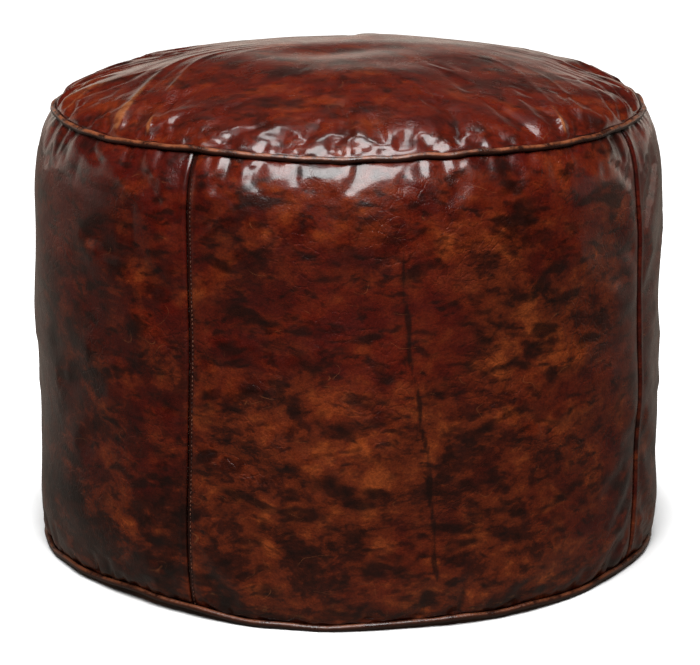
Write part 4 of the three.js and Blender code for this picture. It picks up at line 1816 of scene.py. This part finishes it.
@dataclass
class Stuffing:
    """The calico bag and the wadding and fibre inside it, each a closed shape turned round the axis.

    Attributes:
        shape: the stuffed outline.
        wardrobe: the finishes.
        slack: room between the cover's folds and the bag.
        steps: cells round the pouf.
    """

    shape: StuffedShape
    wardrobe: Wardrobe
    slack: float = 9.0
    steps: int = 220

    def dome(self, depth: float, reach: float) -> Array:
        """A line under the crown, from the axis out.

        Args:
            depth: distance under the slack.
            reach: where it ends.

        Returns:
            Radius and height of its points.
        """
        radius = np.linspace(0.0, reach, 36)
        rise = self.shape.plain_crown(radius) - self.slack - depth
        return np.stack([radius, rise], axis=-1)

    def wall(self, depth: float, low: float, high: float) -> Array:
        """Radius and height of a line behind the side, from low to high."""
        height = np.linspace(low, high, 48)
        return np.stack([self.shape.plain_side(height) - self.slack - depth, height], axis=-1)

    def turn(self, name: str, section: Array, seed: int, unevenness: float) -> bpy.types.Object:
        """Turns a closed section round the axis, with slight hills.

        Args:
            name: the object's name.
            section: radius and height of each point, in order round the section.
            seed: picks the hills.
            unevenness: how high they are.

        Returns:
            A closed object.
        """
        angle = round_angles(self.steps)
        grid_angle, along = np.meshgrid(angle, np.arange(len(section)) * 8.0, indexing="ij")
        hills = Lumps(seed, 70.0, unevenness)(grid_angle, along)
        fade = smooth_step(0.0, 60.0, section[:, 0])
        radius = np.maximum(section[:, 0] + hills * fade, 0.0)
        radius = np.where(section[:, 0] <= 0.0, 0.0, radius)
        points = ring_points(grid_angle, radius, np.broadcast_to(section[:, 1], radius.shape))
        closed = section[0, 0] > 0.0
        faces = grid_faces(*radius.shape, wrap_rows=True, wrap_columns=closed)
        made = make_object(name, points, faces, merge=True)
        outward_normals(made)
        return made

    def build(self) -> None:
        """Builds and dresses the bag's three pieces and the three layers of filling."""
        floor = 16.0
        cloth = 0.8
        rim = 238.0
        high = self.shape.upper_height - 14.0
        crown_pad = 20.0
        side_pad = 14.0
        bag_top = np.concatenate([self.dome(0.0, rim), self.dome(cloth, rim)[::-1]])
        bag_side = np.concatenate([self.wall(0.0, floor, high), self.wall(cloth, floor, high)[::-1]])
        bag_base = np.array([[0.0, 13.2], [120.0, 13.2], [rim, 13.2], [rim, 14.0], [120.0, 14.0], [0.0, 14.0]])
        wadding_top = np.concatenate([self.dome(cloth + 0.5, rim), self.dome(cloth + crown_pad, rim)[::-1]])
        pad_top = self.shape.plain_crown(np.array(rim)) - self.slack - cloth - crown_pad - 2.0
        outside = self.wall(cloth + 0.5, floor, pad_top)
        wadding_side = np.concatenate([outside, self.wall(cloth + side_pad, floor, pad_top)[::-1]])
        core_wall = self.wall(cloth + side_pad + 1.0, floor, pad_top - 1.0)
        core_top = self.dome(cloth + crown_pad + 1.0, rim - 4.0)[::-1]
        core = np.concatenate([[[0.0, floor]], core_wall, core_top])
        pieces = (
            ("bag_crown", bag_top, "inner_bag_crown", Finish.CALICO, 0.3),
            ("bag_side", bag_side, "inner_bag_side", Finish.CALICO, 0.3),
            ("bag_base", bag_base, "inner_bag_base", Finish.CALICO, 0.3),
            ("crown_wadding_pad", wadding_top, "crown_wadding", Finish.WADDING, 0.6),
            ("side_wadding_band", wadding_side, "side_wadding", Finish.WADDING, 0.6),
            ("packed_core", core, "filling_core", Finish.FIBRE, 0.8),
        )
        for number, (name, section, node, finish, unevenness) in enumerate(pieces):
            made = self.turn(name, section, 90 + number, unevenness)
            self.wardrobe.stand_in(made, node, finish)


# ---------------------------------------------------------------- the studio


@dataclass(frozen=True)
class SoftBox:
    """A studio light: a glowing panel that faces the pouf.

    Attributes:
        name: the light's name.
        azimuth: degrees from the front, growing towards +X.
        elevation: degrees above level.
        distance: metres from the aim.
        width: metres.
        height: metres.
        power: watts.
        aim: height of the point that it faces, in metres.
    """

    name: str
    azimuth: float
    elevation: float
    distance: float
    width: float
    height: float
    power: float
    aim: float = 0.35

    def build(self) -> None:
        """Adds the light."""
        data = bpy.data.lights.new(self.name, "AREA")
        data.shape = "RECTANGLE"
        data.size = self.width
        data.size_y = self.height
        data.energy = self.power
        lamp = bpy.data.objects.new(self.name, data)
        a, e = math.radians(self.azimuth), math.radians(self.elevation)
        away = (math.sin(a) * math.cos(e), -math.cos(a) * math.cos(e), math.sin(e))
        lamp.location = (away[0] * self.distance, away[1] * self.distance, away[2] * self.distance + self.aim)
        lamp.rotation_euler = (math.pi / 2.0 - e, 0.0, a)
        bpy.context.scene.collection.objects.link(lamp)


@dataclass
class Studio:
    """The floor, the surroundings, the lights and the camera.

    Attributes:
        camera_back: metres from the axis to the camera.
        camera_height: metres.
        pitch: degrees that the camera looks down.
        lens: focal length, in millimetres.
        sweep_level: how bright the white sweep behind the pouf is.
        sweep_colour: its colour, as the leather sees it.
        room_level: how bright everything else round the pouf is.
        boxes: the lights.
    """

    camera_back: float = 1.96
    camera_height: float = 0.718
    pitch: float = 15.5
    lens: float = 115.7
    sweep_level: float = 0.82
    sweep_colour: Colour = (1.0, 0.86, 0.74)
    room_level: float = 0.018
    boxes: Sequence[SoftBox] = (
        SoftBox("main", -4.0, 54.0, 2.5, 2.0, 1.6, 136.0),
        SoftBox("upper", -12.0, 101.0, 2.2, 0.9, 0.5, 13.0),
    )

    def build(self) -> None:
        """Builds the studio."""
        for box in self.boxes:
            box.build()
        self.build_floor()
        self.build_surroundings()
        self.build_camera()

    def build_floor(self) -> None:
        """A large pale floor, which the leather sees as dimmer in front of the pouf than behind it. To the camera it
        glows white only away from the pouf, so a ring round it stays darker: a painted shadow round the base, over the
        real one.

        From below the camera looks through it, at the base, which a glowing patch of floor under the pouf lights.
        """
        reach = 9000.0
        points = np.array([[-reach, -reach, 0.0], [reach, -reach, 0.0], [reach, reach, 0.0], [-reach, reach, 0.0]])
        floor = make_object("floor", points, np.array([[0, 1, 2, 3]]))
        g = Graph("pale_floor")
        place = g.place()
        seen = g.add("ShaderNodeLightPath").outputs["Is Camera Ray"]
        mottled = g.mix(g.noise(place, 30.0, 3.0), (0.86, 0.86, 0.86), (0.90, 0.90, 0.90))
        behind = g.remap(g.axis(place, "Y"), -0.35, 0.6, 0.0, 0.15)
        length = g.add("ShaderNodeVectorMath", operation="LENGTH")
        g.put(length.inputs[0], place)
        # Painted shadow: to the camera the floor's glow fades out towards the pouf, leaving a darker ring round it.
        clear = g.remap(length.outputs["Value"], 0.272, 0.37, 0.0, 1.0)
        near = g.math("MAXIMUM", behind, g.remap(length.outputs["Value"], 0.46, 0.30, 0.0, 0.10))
        near = g.math("MAXIMUM", near, g.remap(length.outputs["Value"], 0.24, 0.22, 0.0, 0.7))
        from_below = g.add("ShaderNodeNewGeometry").outputs["Backfacing"]
        glow = g.math("MULTIPLY_ADD", seen, g.math("SUBTRACT", clear, near), near)
        g.shade(Base_Color=g.mix(seen, (0.05, 0.045, 0.04), mottled), Roughness=0.9, Specular_IOR_Level=0.0,
                Alpha=g.math("SUBTRACT", 1.0, from_below),
                Emission_Color=g.mix(seen, (1.0, 0.80, 0.66), (1.0, 1.0, 1.0)), Emission_Strength=glow)
        floor.data.materials.append(g.material)

    def build_surroundings(self) -> None:
        """A white sweep behind the pouf, a dim room in front of it, and white where the camera sees it."""
        world = bpy.data.worlds.new("studio")
        world.use_nodes = True
        tree = world.node_tree
        tree.nodes.clear()
        nodes = {key: tree.nodes.new(kind) for key, kind in (
            ("place", "ShaderNodeTexCoord"), ("split", "ShaderNodeSeparateXYZ"),
            ("behind", "ShaderNodeMapRange"), ("low", "ShaderNodeMapRange"), ("both", "ShaderNodeMath"),
            ("level", "ShaderNodeMath"), ("path", "ShaderNodeLightPath"), ("seen", "ShaderNodeMath"),
            ("colour", "ShaderNodeMix"), ("glow", "ShaderNodeBackground"), ("out", "ShaderNodeOutputWorld"))}
        nodes["colour"].data_type = "RGBA"
        for key, operation in (("both", "MULTIPLY"), ("level", "MULTIPLY_ADD"), ("seen", "MAXIMUM")):
            nodes[key].operation = operation
        for key, socket, value in (
            ("behind", "From Min", -0.2), ("behind", "From Max", 0.5), ("low", "From Min", 0.30),
            ("low", "From Max", 0.06), ("level", 1, self.sweep_level), ("level", 2, self.room_level),
            ("colour", 6, (*self.sweep_colour, 1.0)), ("colour", 7, (1.0, 1.0, 1.0, 1.0)),
        ):
            nodes[key].inputs[socket].default_value = value
        for source, output, target, socket in (
            ("place", "Generated", "split", 0), ("split", "Y", "behind", "Value"), ("split", "Z", "low", "Value"),
            ("behind", 0, "both", 0), ("low", 0, "both", 1), ("both", 0, "level", 0), ("level", 0, "seen", 0),
            ("path", "Is Camera Ray", "seen", 1), ("path", "Is Camera Ray", "colour", 0),
            ("colour", 2, "glow", "Color"), ("seen", 0, "glow", "Strength"), ("glow", 0, "out", "Surface"),
        ):
            tree.links.new(nodes[source].outputs[output], nodes[target].inputs[socket])
        bpy.context.scene.world = world
        bpy.context.scene.view_settings.view_transform = "Standard"

    def build_camera(self) -> None:
        """The camera, level from side to side and without depth of field."""
        data = bpy.data.cameras.new("camera")
        data.lens = self.lens
        data.sensor_width = 36.0
        camera = bpy.data.objects.new("camera", data)
        camera.location = (0.001, -self.camera_back, self.camera_height)
        camera.rotation_euler = (math.radians(90.0 - self.pitch), 0.0, 0.0)
        bpy.context.scene.collection.objects.link(camera)
        bpy.context.scene.camera = camera


def main() -> None:
    """Builds the pouf and its studio."""
    logging.basicConfig(level=logging.INFO, format="%(name)s: %(message)s")
    Studio().build()
    shape = StuffedShape()
    wardrobe = Wardrobe()
    SideWall(shape, wardrobe).build()
    Crown(shape, wardrobe).build()
    Piping(shape, wardrobe).build()
    Base(shape, wardrobe).build()
    Stuffing(shape, wardrobe).build()


if __name__ == "__main__":
    main()
